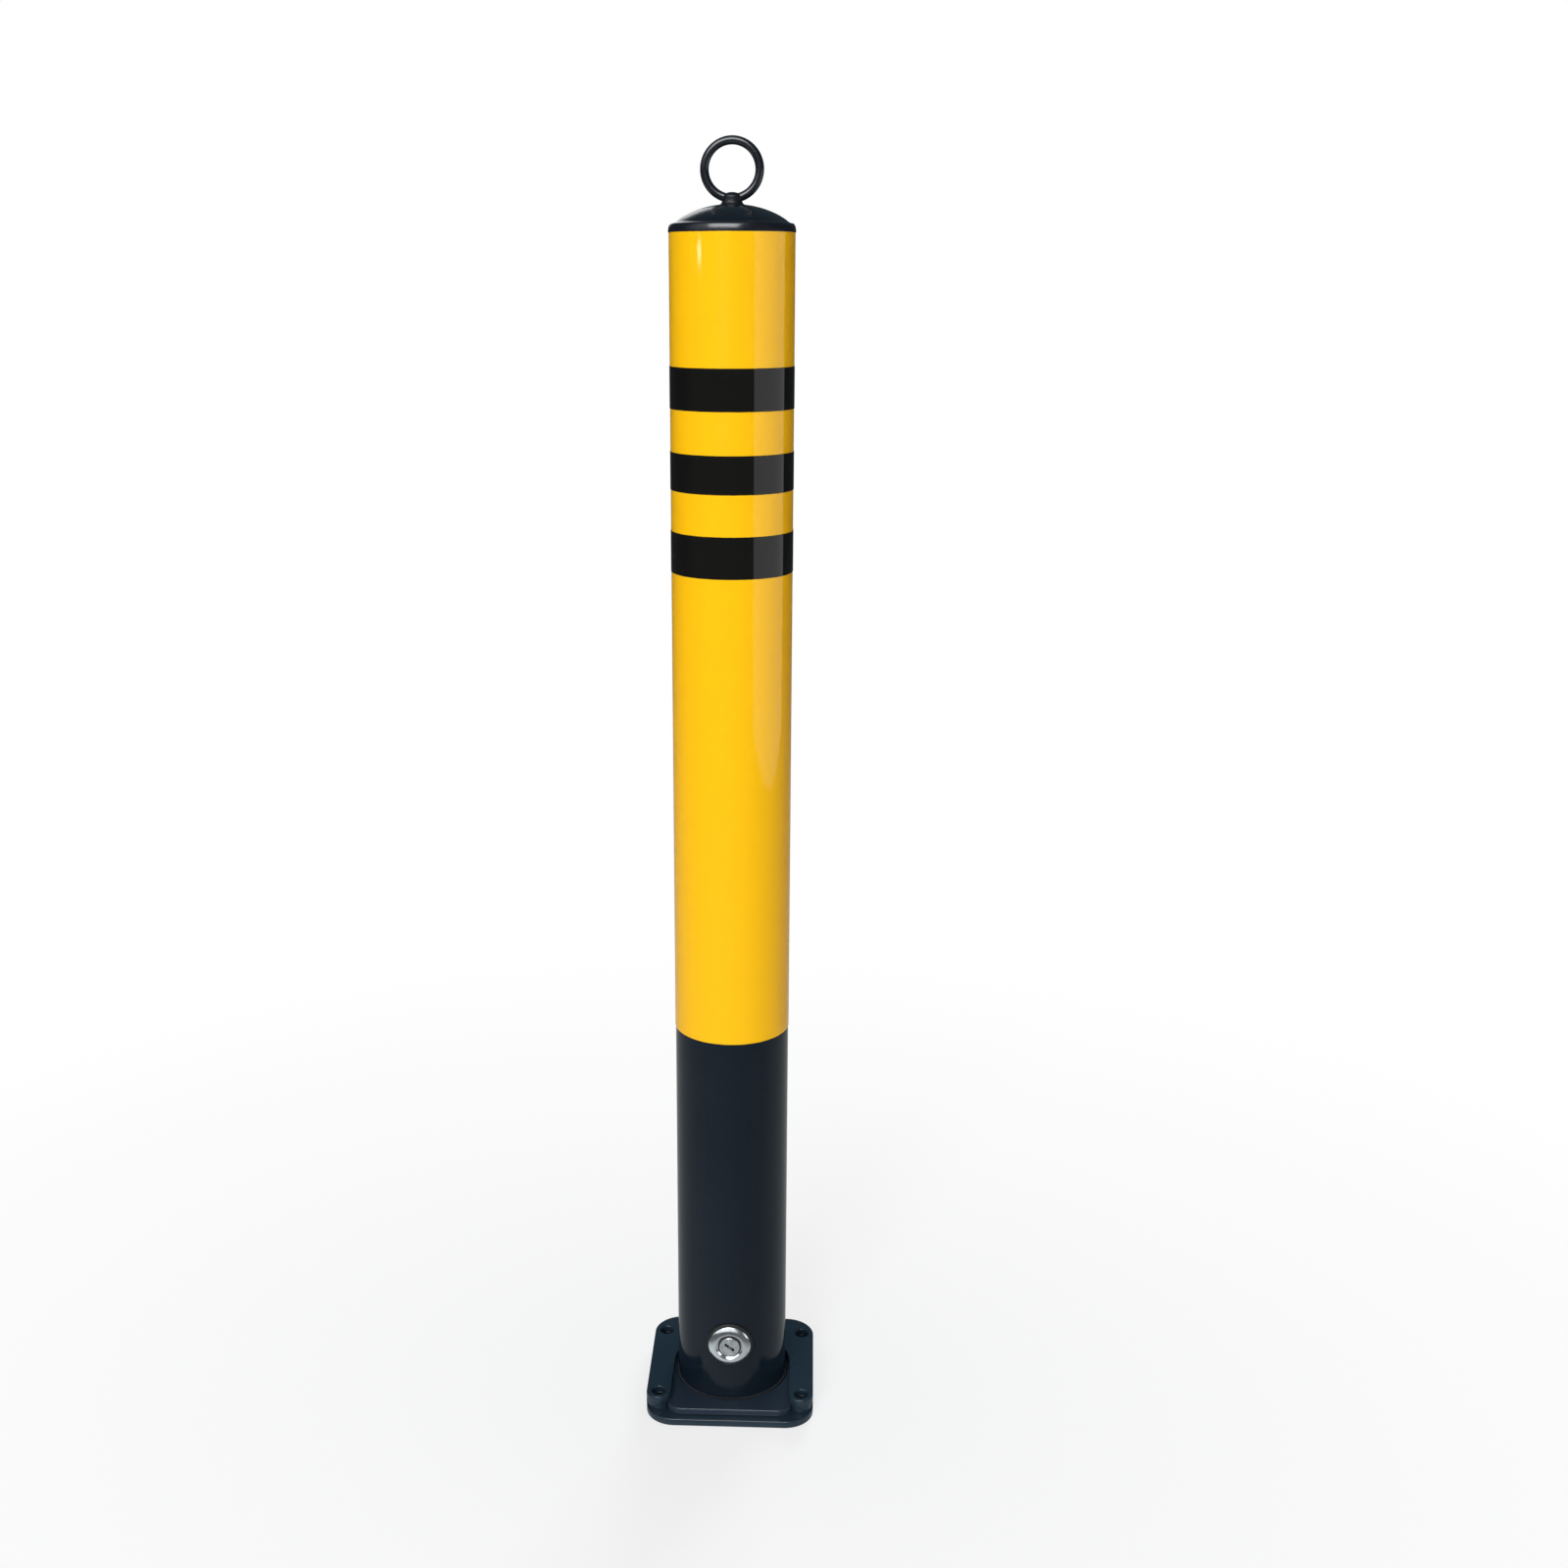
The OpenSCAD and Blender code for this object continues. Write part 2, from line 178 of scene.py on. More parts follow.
def mesh_from(name: str, made: bmesh.types.BMesh, sharp: float = SHARP) -> bpy.types.Mesh:
    """Turns a bmesh into a mesh whose faces point outwards.

    Args:
        name: the mesh's name.
        made: the bmesh, which is freed.
        sharp: edges steeper than this many degrees are shaded sharp.

    Returns:
        The mesh.
    """
    bmesh.ops.remove_doubles(made, verts=made.verts, dist=MERGE)
    bmesh.ops.recalc_face_normals(made, faces=made.faces)
    mesh = bpy.data.meshes.new(name)
    made.to_mesh(mesh)
    made.free()
    mesh.polygons.foreach_set("use_smooth", [True] * len(mesh.polygons))
    mesh.set_sharp_from_angle(angle=math.radians(sharp))
    return mesh


def lathe(
    name: str,
    profile: Loop,
    place: Matrix | None = None,
    segments: int = 160,
    sweep: Point = (0.0, 360.0),
) -> Thing:
    """Revolves a closed profile about the local Z axis.

    Args:
        name: the piece's name.
        profile: points of radius and height. A radius of zero makes a pole.
        place: where the turned shape goes, or None where it is.
        segments: how many steps a full turn has.
        sweep: first and last angle in degrees, for a shape that isn't a full turn.

    Returns:
        The object.
    """
    made = bmesh.new()
    full = sweep[1] - sweep[0] >= 360
    steps = segments if full else max(2, round(segments * (sweep[1] - sweep[0]) / 360))
    columns = steps if full else steps + 1
    rings = []
    for radius, height in profile:
        if radius < MERGE:
            pole = made.verts.new((0, 0, height))
            rings.append([pole] * columns)
            continue
        ring = []
        for k in range(columns):
            angle = math.radians(sweep[0] + (sweep[1] - sweep[0]) * k / steps)
            corner = (radius * math.cos(angle), radius * math.sin(angle), height)
            ring.append(made.verts.new(corner))
        rings.append(ring)
    for low, high in zip(rings, rings[1:] + rings[:1]):
        for k in range(steps):
            after = (k + 1) % columns
            unique = list(dict.fromkeys([low[k], low[after], high[after], high[k]]))
            if len(unique) > 2:
                made.faces.new(unique)
    if not full:
        made.faces.new([ring[0] for ring in rings])
        made.faces.new([ring[-1] for ring in reversed(rings)])
    if place is not None:
        made.transform(place)
    return piece(name, mesh_from(name, made))


def plate(
    name: str, loops: list[Loop], bottom: float, top: float, edge: float, steps: int = 5
) -> Thing:
    """A flat plate with holes, and with its edges rounded.

    Args:
        name: the piece's name.
        loops: the outline, anticlockwise, and then the holes, clockwise.
        bottom: height of the underside.
        top: height of the upper face.
        edge: radius of the rounded edges.
        steps: how many chords a rounded edge has.

    Returns:
        The object.
    """
    quarter = [math.radians(90 * k / steps) for k in range(steps + 1)]
    levels = [(edge * (1 - math.sin(a)), bottom + edge * (1 - math.cos(a))) for a in quarter]
    levels += [(edge * (1 - math.cos(a)), top - edge * (1 - math.sin(a))) for a in quarter]
    made = bmesh.new()
    first_verts, last_verts = [], []
    for loop in loops:
        rings = []
        for inset, height in levels:
            rings.append([made.verts.new((x, y, height)) for x, y in inset_loop(loop, inset)])
        for low, high in zip(rings, rings[1:]):
            for k in range(len(loop)):
                after = (k + 1) % len(loop)
                made.faces.new([low[k], low[after], high[after], high[k]])
        first_verts += rings[0]
        last_verts += rings[-1]
    outline = [[Vector((x, y, 0)) for x, y in inset_loop(loop, edge)] for loop in loops]
    caps = []
    for a, b, c in tessellate_polygon(outline):
        caps.append(made.faces.new([first_verts[a], first_verts[b], first_verts[c]]))
        caps.append(made.faces.new([last_verts[a], last_verts[b], last_verts[c]]))
    bmesh.ops.recalc_face_normals(made, faces=made.faces)
    made.faces.index_update()
    flat = {f.index for f in caps}
    mesh = bpy.data.meshes.new(name)
    made.to_mesh(mesh)
    made.free()
    mesh.polygons.foreach_set("use_smooth", [k not in flat for k in range(len(mesh.polygons))])
    return piece(name, mesh)


def evaluated(source: Thing, name: str) -> Thing:
    """Replaces an object with live modifiers by a plain one.

    Args:
        source: the object, which is removed.
        name: the new object's name.

    Returns:
        The plain object, with its place in its mesh.
    """
    bpy.context.view_layer.update()
    graph = bpy.context.evaluated_depsgraph_get()
    shape = source.evaluated_get(graph)
    mesh = bpy.data.meshes.new_from_object(shape, depsgraph=graph)
    mesh.transform(source.matrix_world)
    bpy.data.objects.remove(source)
    mesh.name = name
    return piece(name, mesh)


def cut(target: Thing, tool: Thing) -> Thing:
    """Cuts a tool's shape out of a target, and removes the tool.

    Args:
        target: the object that is cut.
        tool: a closed shape.

    Returns:
        The cut object, under the target's name.
    """
    name = target.name
    step = target.modifiers.new("cut", "BOOLEAN")
    step.operation = "DIFFERENCE"
    step.solver = "EXACT"
    step.object = tool
    result = evaluated(target, name + "_cut")
    bpy.data.objects.remove(tool)
    result.name = name
    result.data.polygons.foreach_set("use_smooth", [True] * len(result.data.polygons))
    result.data.set_sharp_from_angle(angle=math.radians(SHARP))
    return result


def dress(
    item: Thing, finish: Finish, body: Body, slot: Slot, replaces: tuple[str, ...] = ()
) -> None:
    """Gives a finished piece its material and its body, and reports it.

    Args:
        item: the piece, in place.
        finish: its material.
        body: the body that it rides on.
        slot: the record's material slot; not used.
        replaces: the solids that it stands for.
    """
    item.data.materials.clear()
    item.data.materials.append(finish)
    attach(item, body.value)
    if replaces:
        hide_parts(*replaces)
    LOG.info("%s: %d faces on %s", item.name, len(item.data.polygons), body.value)


# Node trees


class Wiring:
    """A node tree, with short calls to add and join its nodes."""

    def __init__(self, tree: bpy.types.NodeTree) -> None:
        """Empties the tree that it works on."""
        self.tree = tree
        self.tree.nodes.clear()

    def add(self, kind: str) -> bpy.types.Node:
        """Adds a node of a type."""
        return self.tree.nodes.new(kind)

    def join(self, source: Socket, target: Socket) -> None:
        """Links two sockets."""
        self.tree.links.new(source, target)

    def feed(self, value: object, target: Socket) -> None:
        """Gives an input socket what it reads.

        Args:
            value: a socket to link, a colour, or any other plain value.
            target: the input socket.
        """
        if isinstance(value, Socket):
            self.join(value, target)
        elif target.type == "RGBA":
            target.default_value = (*value, 1.0)
        else:
            target.default_value = value

    def maths(self, operation: str, *terms: object) -> Socket:
        """A Math node on numbers or sockets.

        Args:
            operation: what it does, such as MULTIPLY.
            terms: its numbers or sockets, in order.

        Returns:
            Its value.
        """
        made = self.add("ShaderNodeMath")
        made.operation = operation
        for term, target in zip(terms, made.inputs):
            self.feed(term, target)
        return made.outputs[0]

    def ranged(
        self, value: Socket, low: float, high: float, source: Point = (0.3, 0.7),
        smooth: bool = False,
    ) -> Socket:
        """Maps a value from a source range to another, clamped.

        Args:
            value: the value.
            low: what the source range's start becomes.
            high: what its end becomes.
            source: the source range.
            smooth: whether it eases in and out.

        Returns:
            The mapped value.
        """
        made = self.add("ShaderNodeMapRange")
        if smooth:
            made.interpolation_type = "SMOOTHSTEP"
        for key, number in zip(("From Min", "From Max", "To Min", "To Max"), (*source, low, high)):
            made.inputs[key].default_value = number
        self.join(value, made.inputs["Value"])
        return made.outputs["Result"]

    def blended(self, share: Socket, first: Colour | Socket, second: Colour | Socket) -> Socket:
        """A colour between two.

        Args:
            share: how much of the second it has, from 0 to 1.
            first: the colour at 0.
            second: the colour at 1.

        Returns:
            The colour.
        """
        made = self.add("ShaderNodeMix")
        made.data_type = "RGBA"
        self.join(share, made.inputs["Factor"])
        for colour, target in zip((first, second), [s for s in made.inputs if s.type == "RGBA"]):
            self.feed(colour, target)
        return next(s for s in made.outputs if s.type == "RGBA")

    def mixed(self, share: Socket, first: Socket, second: Socket) -> Socket:
        """A shader between two.

        Args:
            share: how much of the second it has, from 0 to 1.
            first: the shader at 0.
            second: the shader at 1.

        Returns:
            The shader.
        """
        made = self.add("ShaderNodeMixShader")
        for source, target in zip((share, first, second), made.inputs):
            self.join(source, target)
        return made.outputs[0]


# Materials


class Board(Wiring):
    """A material's nodes round one Principled shader, with patterns on Object coordinates."""

    def __init__(self, name: str) -> None:
        """Makes a material with a plain Principled shader.

        Args:
            name: the material's name.
        """
        self.material = bpy.data.materials.new(name)
        self.material.use_nodes = True
        super().__init__(self.material.node_tree)
        self.output = self.add("ShaderNodeOutputMaterial")
        self.shader = self.add("ShaderNodeBsdfPrincipled")
        self.join(self.shader.outputs["BSDF"], self.output.inputs["Surface"])
        self.place = self.add("ShaderNodeTexCoord").outputs["Object"]

    def constant(self, **values: float | Colour) -> None:
        """Sets the shader's own sockets, named with _ for a space."""
        for key, value in values.items():
            self.feed(value, self.shader.inputs[key.replace("_", " ")])

    def paint(self, source: Socket, target: str) -> None:
        """Joins a pattern to one of the shader's sockets."""
        self.join(source, self.shader.inputs[target])

    def stretched(self, scale: tuple[float, float, float]) -> Socket:
        """Object coordinates, scaled by each axis.

        Args:
            scale: the factors on X, Y and Z.

        Returns:
            The coordinates.
        """
        mapping = self.add("ShaderNodeMapping")
        mapping.inputs["Scale"].default_value = scale
        self.join(self.place, mapping.inputs["Vector"])
        return mapping.outputs["Vector"]

    def noise(
        self, scale: float, detail: float = 3.0, roughness: float = 0.5,
        vector: Socket | None = None,
    ) -> Socket:
        """A noise pattern.

        Args:
            scale: its size, in cells a metre.
            detail: its octaves.
            roughness: the weight of the finer octaves.
            vector: its coordinates, or None for Object coordinates.

        Returns:
            Its value, about 0.5 on average.
        """
        made = self.add("ShaderNodeTexNoise")
        made.inputs["Scale"].default_value = scale
        made.inputs["Detail"].default_value = detail
        made.inputs["Roughness"].default_value = roughness
        self.join(vector or self.place, made.inputs["Vector"])
        return made.outputs["Fac"]

    def bumped(self, height: Socket, depth: float, before: Socket | None = None) -> Socket:
        """A normal bent by a height.

        Args:
            height: the height pattern.
            depth: how deep it is, in metres.
            before: a normal that was bent already.

        Returns:
            The normal.
        """
        made = self.add("ShaderNodeBump")
        made.inputs["Strength"].default_value = 1.0
        made.inputs["Distance"].default_value = depth
        self.join(height, made.inputs["Height"])
        if before is not None:
            self.join(before, made.inputs["Normal"])
        return made.outputs["Normal"]


@dataclass(frozen=True)
class GlossCoat:
    """Powder coat or paint on steel: an even dark colour, orange peel and a little dust."""

    name: str
    colour: Colour
    dust_and_shade: Colour
    rough: Point
    specular: float
    peel_depth: float
    peel_scale: float = 420.0

    def material(self) -> Finish:
        """Builds the material.

        Returns:
            The material.
        """
        board = Board(self.name)
        board.constant(Specular_IOR_Level=self.specular)
        cloud = board.ranged(board.noise(14.0, 4.0), 0.0, 1.0, (0.42, 0.72))
        board.paint(board.blended(cloud, self.colour, self.dust_and_shade), "Base Color")
        board.paint(board.ranged(board.noise(60.0, 3.0), *self.rough), "Roughness")
        peel = board.noise(self.peel_scale, 2.0)
        board.paint(board.bumped(peel, self.peel_depth), "Normal")
        return board.material


@dataclass(frozen=True)
class WrapFilm:
    """Adhesive film wound round the tube: dyed plastic with faint ripples where it was pulled on."""

    name: str
    colour: Colour
    deep: Colour
    rough: Point = (0.04, 0.06)
    specular: float = 0.4
    ripple_depth: float = 0.03 * MM
    grain_depth: float = 0.0006 * MM

    def material(self) -> Finish:
        """Builds the material.

        Returns:
            The material.
        """
        board = Board(self.name)
        board.constant(Specular_IOR_Level=self.specular)
        drift = board.noise(5.0, 2.0, vector=board.stretched((1.0, 1.0, 0.35)))
        dye = board.blended(board.ranged(drift, 0.0, 1.0), self.colour, self.deep)
        board.paint(dye, "Base Color")
        board.paint(board.ranged(board.noise(45.0, 4.0), *self.rough), "Roughness")
        ripple = board.noise(26.0, 2.0, vector=board.stretched((1.0, 1.0, 0.25)))
        grain = board.bumped(board.noise(1500.0, 1.0), self.grain_depth)
        board.paint(board.bumped(ripple, self.ripple_depth, grain), "Normal")
        return board.material


@dataclass(frozen=True)
class PolishedPlate:
    """Plated metal with fine wiping scratches and a few dull spots."""

    name: str
    colour: Colour
    dull: Colour
    rough: Point
    scratch_depth: float

    def material(self) -> Finish:
        """Builds the material.

        Returns:
            The material.
        """
        board = Board(self.name)
        board.constant(Metallic=1.0)
        spots = board.ranged(board.noise(260.0, 5.0, 0.65), 0.0, 1.0, (0.5, 0.72))
        board.paint(board.blended(spots, self.colour, self.dull), "Base Color")
        board.paint(board.ranged(board.noise(700.0, 4.0), *self.rough), "Roughness")
        scratches = board.noise(900.0, 3.0, vector=board.stretched((1.0, 1.0, 0.12)))
        board.paint(board.bumped(scratches, self.scratch_depth), "Normal")
        return board.material


@dataclass(frozen=True)
class MouldedRubber:
    """Matt black rubber with a fine grain."""

    name: str
    colour: Colour
    bloom: Colour
    rough: Point = (0.5, 0.68)
    grain_depth: float = 0.03 * MM

    def material(self) -> Finish:
        """Builds the material.

        Returns:
            The material.
        """
        board = Board(self.name)
        board.constant(Specular_IOR_Level=0.35)
        patches = board.ranged(board.noise(90.0), 0.0, 1.0)
        board.paint(board.blended(patches, self.colour, self.bloom), "Base Color")
        board.paint(board.ranged(board.noise(300.0), *self.rough), "Roughness")
        board.paint(board.bumped(board.noise(2600.0, 2.0), self.grain_depth), "Normal")
        return board.material


@dataclass(frozen=True)
class RolledSteel:
    """Zinc-plated or blackened steel with a rolled grain."""

    name: str
    colour: Colour
    tarnish: Colour
    rough: Point
    grain_depth: float = 0.02 * MM

    def material(self) -> Finish:
        """Builds the material.

        Returns:
            The material.
        """
        board = Board(self.name)
        board.constant(Metallic=1.0)
        patches = board.ranged(board.noise(110.0, 5.0, 0.6), 0.0, 1.0)
        board.paint(board.blended(patches, self.colour, self.tarnish), "Base Color")
        board.paint(board.ranged(board.noise(420.0, 3.0), *self.rough), "Roughness")
        grain = board.noise(1200.0, 2.0, vector=board.stretched((1.0, 1.0, 0.08)))
        board.paint(board.bumped(grain, self.grain_depth), "Normal")
        return board.material


@dataclass
class Finishes:
    """Every finish on the post, built once."""

    base: Finish = field(init=False)
    post: Finish = field(init=False)
    foot: Finish = field(init=False)
    cap: Finish = field(init=False)
    weld: Finish = field(init=False)
    yellow: Finish = field(init=False)
    band: Finish = field(init=False)
    chrome: Finish = field(init=False)
    plug: Finish = field(init=False)
    rubber: Finish = field(init=False)
    zinc: Finish = field(init=False)
    spring: Finish = field(init=False)

    def __post_init__(self) -> None:
        """Builds the materials."""
        self.base = GlossCoat(
            name="blue_black_powder_coat",
            colour=(0.0115, 0.0245, 0.0385), dust_and_shade=(0.014, 0.0285, 0.0445),
            rough=(0.12, 0.2), specular=0.45, peel_depth=0.03 * MM,
        ).material()
        self.post = GlossCoat(
            name="black_powder_coat",
            colour=(0.004, 0.0078, 0.0135), dust_and_shade=(0.005, 0.0095, 0.016),
            rough=(0.1, 0.16), specular=0.27, peel_depth=0.02 * MM,
        ).material()
        self.foot = GlossCoat(
            name="foot_powder_coat",
            colour=(0.0175, 0.0295, 0.047), dust_and_shade=(0.021, 0.034, 0.053),
            rough=(0.12, 0.2), specular=0.45, peel_depth=0.03 * MM,
        ).material()
        self.cap = GlossCoat(
            name="black_gloss_paint",
            colour=(0.0045, 0.006, 0.0095), dust_and_shade=(0.006, 0.0075, 0.0115),
            rough=(0.19, 0.25), specular=0.5, peel_depth=0.0015 * MM, peel_scale=200.0,
        ).material()
        self.weld = GlossCoat(
            name="painted_weld",
            colour=(0.0045, 0.0065, 0.0105), dust_and_shade=(0.006, 0.008, 0.0125),
            rough=(0.36, 0.46), specular=0.2, peel_depth=0.01 * MM, peel_scale=200.0,
        ).material()
        self.yellow = WrapFilm(
            name="yellow_film", colour=(0.9, 0.5, 0.004), deep=(0.9, 0.48, 0.0035)
        ).material()
        self.band = WrapFilm(
            name="black_tape", colour=(0.0035, 0.0035, 0.003), deep=(0.0045, 0.0045, 0.004)
        ).material()
        self.chrome = PolishedPlate(
            name="lock_chrome", colour=(0.86, 0.88, 0.9), dull=(0.66, 0.68, 0.7),
            rough=(0.08, 0.18), scratch_depth=0.012 * MM,
        ).material()
        self.plug = PolishedPlate(
            name="plug_nickel", colour=(0.74, 0.75, 0.76), dull=(0.5, 0.5, 0.5),
            rough=(0.12, 0.26), scratch_depth=0.02 * MM,
        ).material()
        self.rubber = MouldedRubber(
            name="seal_rubber", colour=(0.01, 0.01, 0.011), bloom=(0.016, 0.016, 0.017)
        ).material()
        self.zinc = RolledSteel(
            name="zinc_plate", colour=(0.55, 0.56, 0.58), tarnish=(0.36, 0.36, 0.36),
            rough=(0.28, 0.45),
        ).material()
        self.spring = RolledSteel(
            name="spring_steel", colour=(0.12, 0.12, 0.13), tarnish=(0.06, 0.06, 0.06),
            rough=(0.3, 0.42),
        ).material()


# Geometry Nodes


class Recipe(Wiring):
    """A Geometry Nodes tree with named inputs, and the mesh that it makes."""

    def __init__(self, name: str) -> None:
        """Starts an empty tree that puts out a mesh.

        Args:
            name: the name of the tree, and of the object that it makes.
        """
        self.name = name
        super().__init__(bpy.data.node_groups.new(name, "GeometryNodeTree"))
        self.tree.interface.new_socket(
            "Geometry", in_out="OUTPUT", socket_type="NodeSocketGeometry"
        )
        self.inlet = self.add("NodeGroupInput")
        self.outlet = self.add("NodeGroupOutput")
        self.values: dict[str, float | int] = {}

    def size(self, name: str, value: float) -> Socket:
        """Adds a named input, and gives it a value.

        Args:
            name: the input's name.
            value: its value. A whole number makes an Integer socket.

        Returns:
            The socket that gives the value inside the tree.
        """
        kind = "NodeSocketInt" if isinstance(value, int) else "NodeSocketFloat"
        item = self.tree.interface.new_socket(name, in_out="INPUT", socket_type=kind)
        self.values[item.identifier] = value
        return self.inlet.outputs[name]

    def node(self, kind: str, **sockets: object) -> bpy.types.Node:
        """Adds a geometry node.

        Args:
            kind: the node's type, without its GeometryNode prefix where it has one.
            sockets: input sockets, named with _ for a space, each with a value or another socket.

        Returns:
            The node.
        """
        made = self.add(kind if kind.startswith("Function") else "GeometryNode" + kind)
        for key, value in sockets.items():
            self.feed(value, made.inputs[key.replace("_", " ")])
        return made

    def vector(self, x: object = 0.0, y: object = 0.0, z: object = 0.0) -> Socket:
        """A vector from three numbers or sockets.

        Args:
            x: its X.
            y: its Y.
            z: its Z.

        Returns:
            The vector.
        """
        made = self.add("ShaderNodeCombineXYZ")
        for term, target in zip((x, y, z), made.inputs):
            self.feed(term, target)
        return made.outputs[0]

    def random(self, low: Socket, high: Socket, seed: int) -> Socket:
        """A random number for each instance.

        Args:
            low: the smallest.
            high: the largest.
            seed: which draw it is.

        Returns:
            The number.
        """
        made = self.node("FunctionNodeRandomValue", Seed=self.size("Seed", seed))
        self.join(low, made.inputs[2])
        self.join(high, made.inputs[3])
        return made.outputs[1]

    def build(self, shape: Socket, finish: Finish) -> Thing:
        """Ends the tree, runs it, and returns its mesh as a plain object.

        Args:
            shape: the geometry that the tree has made.
            finish: the material that it sets.

        Returns:
            The plain object.
        """
        real = self.node("RealizeInstances", Geometry=shape)
        painted = self.node("SetMaterial", Geometry=real.outputs[0], Material=finish)
        self.join(painted.outputs[0], self.outlet.inputs[0])
        carrier = piece(self.name + "_carrier", bpy.data.meshes.new(self.name + "_carrier"))
        step = carrier.modifiers.new(self.name, "NODES")
        step.node_group = self.tree
        for identifier, value in self.values.items():
            step[identifier] = value
        made = evaluated(carrier, self.name)
        made.data.polygons.foreach_set("use_smooth", [True] * len(made.data.polygons))
        return made


def bead_round(
    name: str, radius: float, height: float, blob: float, pitch: float, finish: Finish
) -> Thing:
    """A weld bead round the Z axis: overlapping flat drops, each a little different.

    Args:
        name: the piece's name.
        radius: the radius of the bead's middle line.
        height: its height.
        blob: the radius of a drop across the bead.
        pitch: the distance between drops.
        finish: its material.

    Returns:
        The bead.
    """
    recipe = Recipe(name)
    drops = recipe.size("Drops", round(2 * math.pi * radius / pitch))
    drop_r = recipe.size("Drop radius", blob)
    uneven = recipe.random(
        recipe.size("Smallest drop", 0.92), recipe.size("Largest drop", 1.1), 7
    )
    circle = recipe.node(
        "CurvePrimitiveCircle", Radius=recipe.size("Bead radius", radius), Resolution=256
    )
    points = recipe.node("CurveToPoints", Curve=circle.outputs["Curve"], Count=drops)
    drop = recipe.node("MeshUVSphere", Segments=14, Rings=8, Radius=1.0)
    flat = recipe.maths("MULTIPLY", uneven, recipe.size("Drop flatness", 0.8))
    size = recipe.vector(
        recipe.maths("MULTIPLY", drop_r, uneven), drop_r, recipe.maths("MULTIPLY", drop_r, flat)
    )
    placed = recipe.node(
        "InstanceOnPoints", Points=points.outputs["Points"], Instance=drop.outputs["Mesh"],
        Rotation=points.outputs["Rotation"], Scale=size,
    )
    lifted = recipe.node(
        "TranslateInstances", Instances=placed.outputs[0], Local_Space=False,
        Translation=recipe.vector(z=recipe.size("Height", height)),
    )
    return recipe.build(lifted.outputs[0], finish)


def wire_ring(name: str, radius: float, wire: float, height: float, finish: Finish) -> Thing:
    """A ring of round wire that stands in the XZ plane.

    Args:
        name: the piece's name.
        radius: the radius of the wire's middle line.
        wire: the wire's radius.
        height: the height of the ring's middle.
        finish: its material.

    Returns:
        The ring.
    """
    recipe = Recipe(name)
    circle = recipe.node(
        "CurvePrimitiveCircle", Radius=recipe.size("Ring radius", radius), Resolution=128
    )
    section = recipe.node(
        "CurvePrimitiveCircle", Radius=recipe.size("Wire radius", wire), Resolution=32
    )
    swept = recipe.node(
        "CurveToMesh", Curve=circle.outputs["Curve"], Profile_Curve=section.outputs["Curve"]
    )
    stood = recipe.node(
        "Transform", Geometry=swept.outputs[0], Rotation=(math.pi / 2, 0.0, 0.0),
        Translation=recipe.vector(z=recipe.size("Height", height)),
    )
    return recipe.build(stood.outputs[0], finish)


# Sub-assemblies


def along_lock(height: float) -> Matrix:
    """Puts a turned shape on the lock's axis, counted from the tube's axis to the front."""
    return Matrix.Translation((0, 0, height)) @ Matrix.Rotation(math.pi / 2, 4, "X")


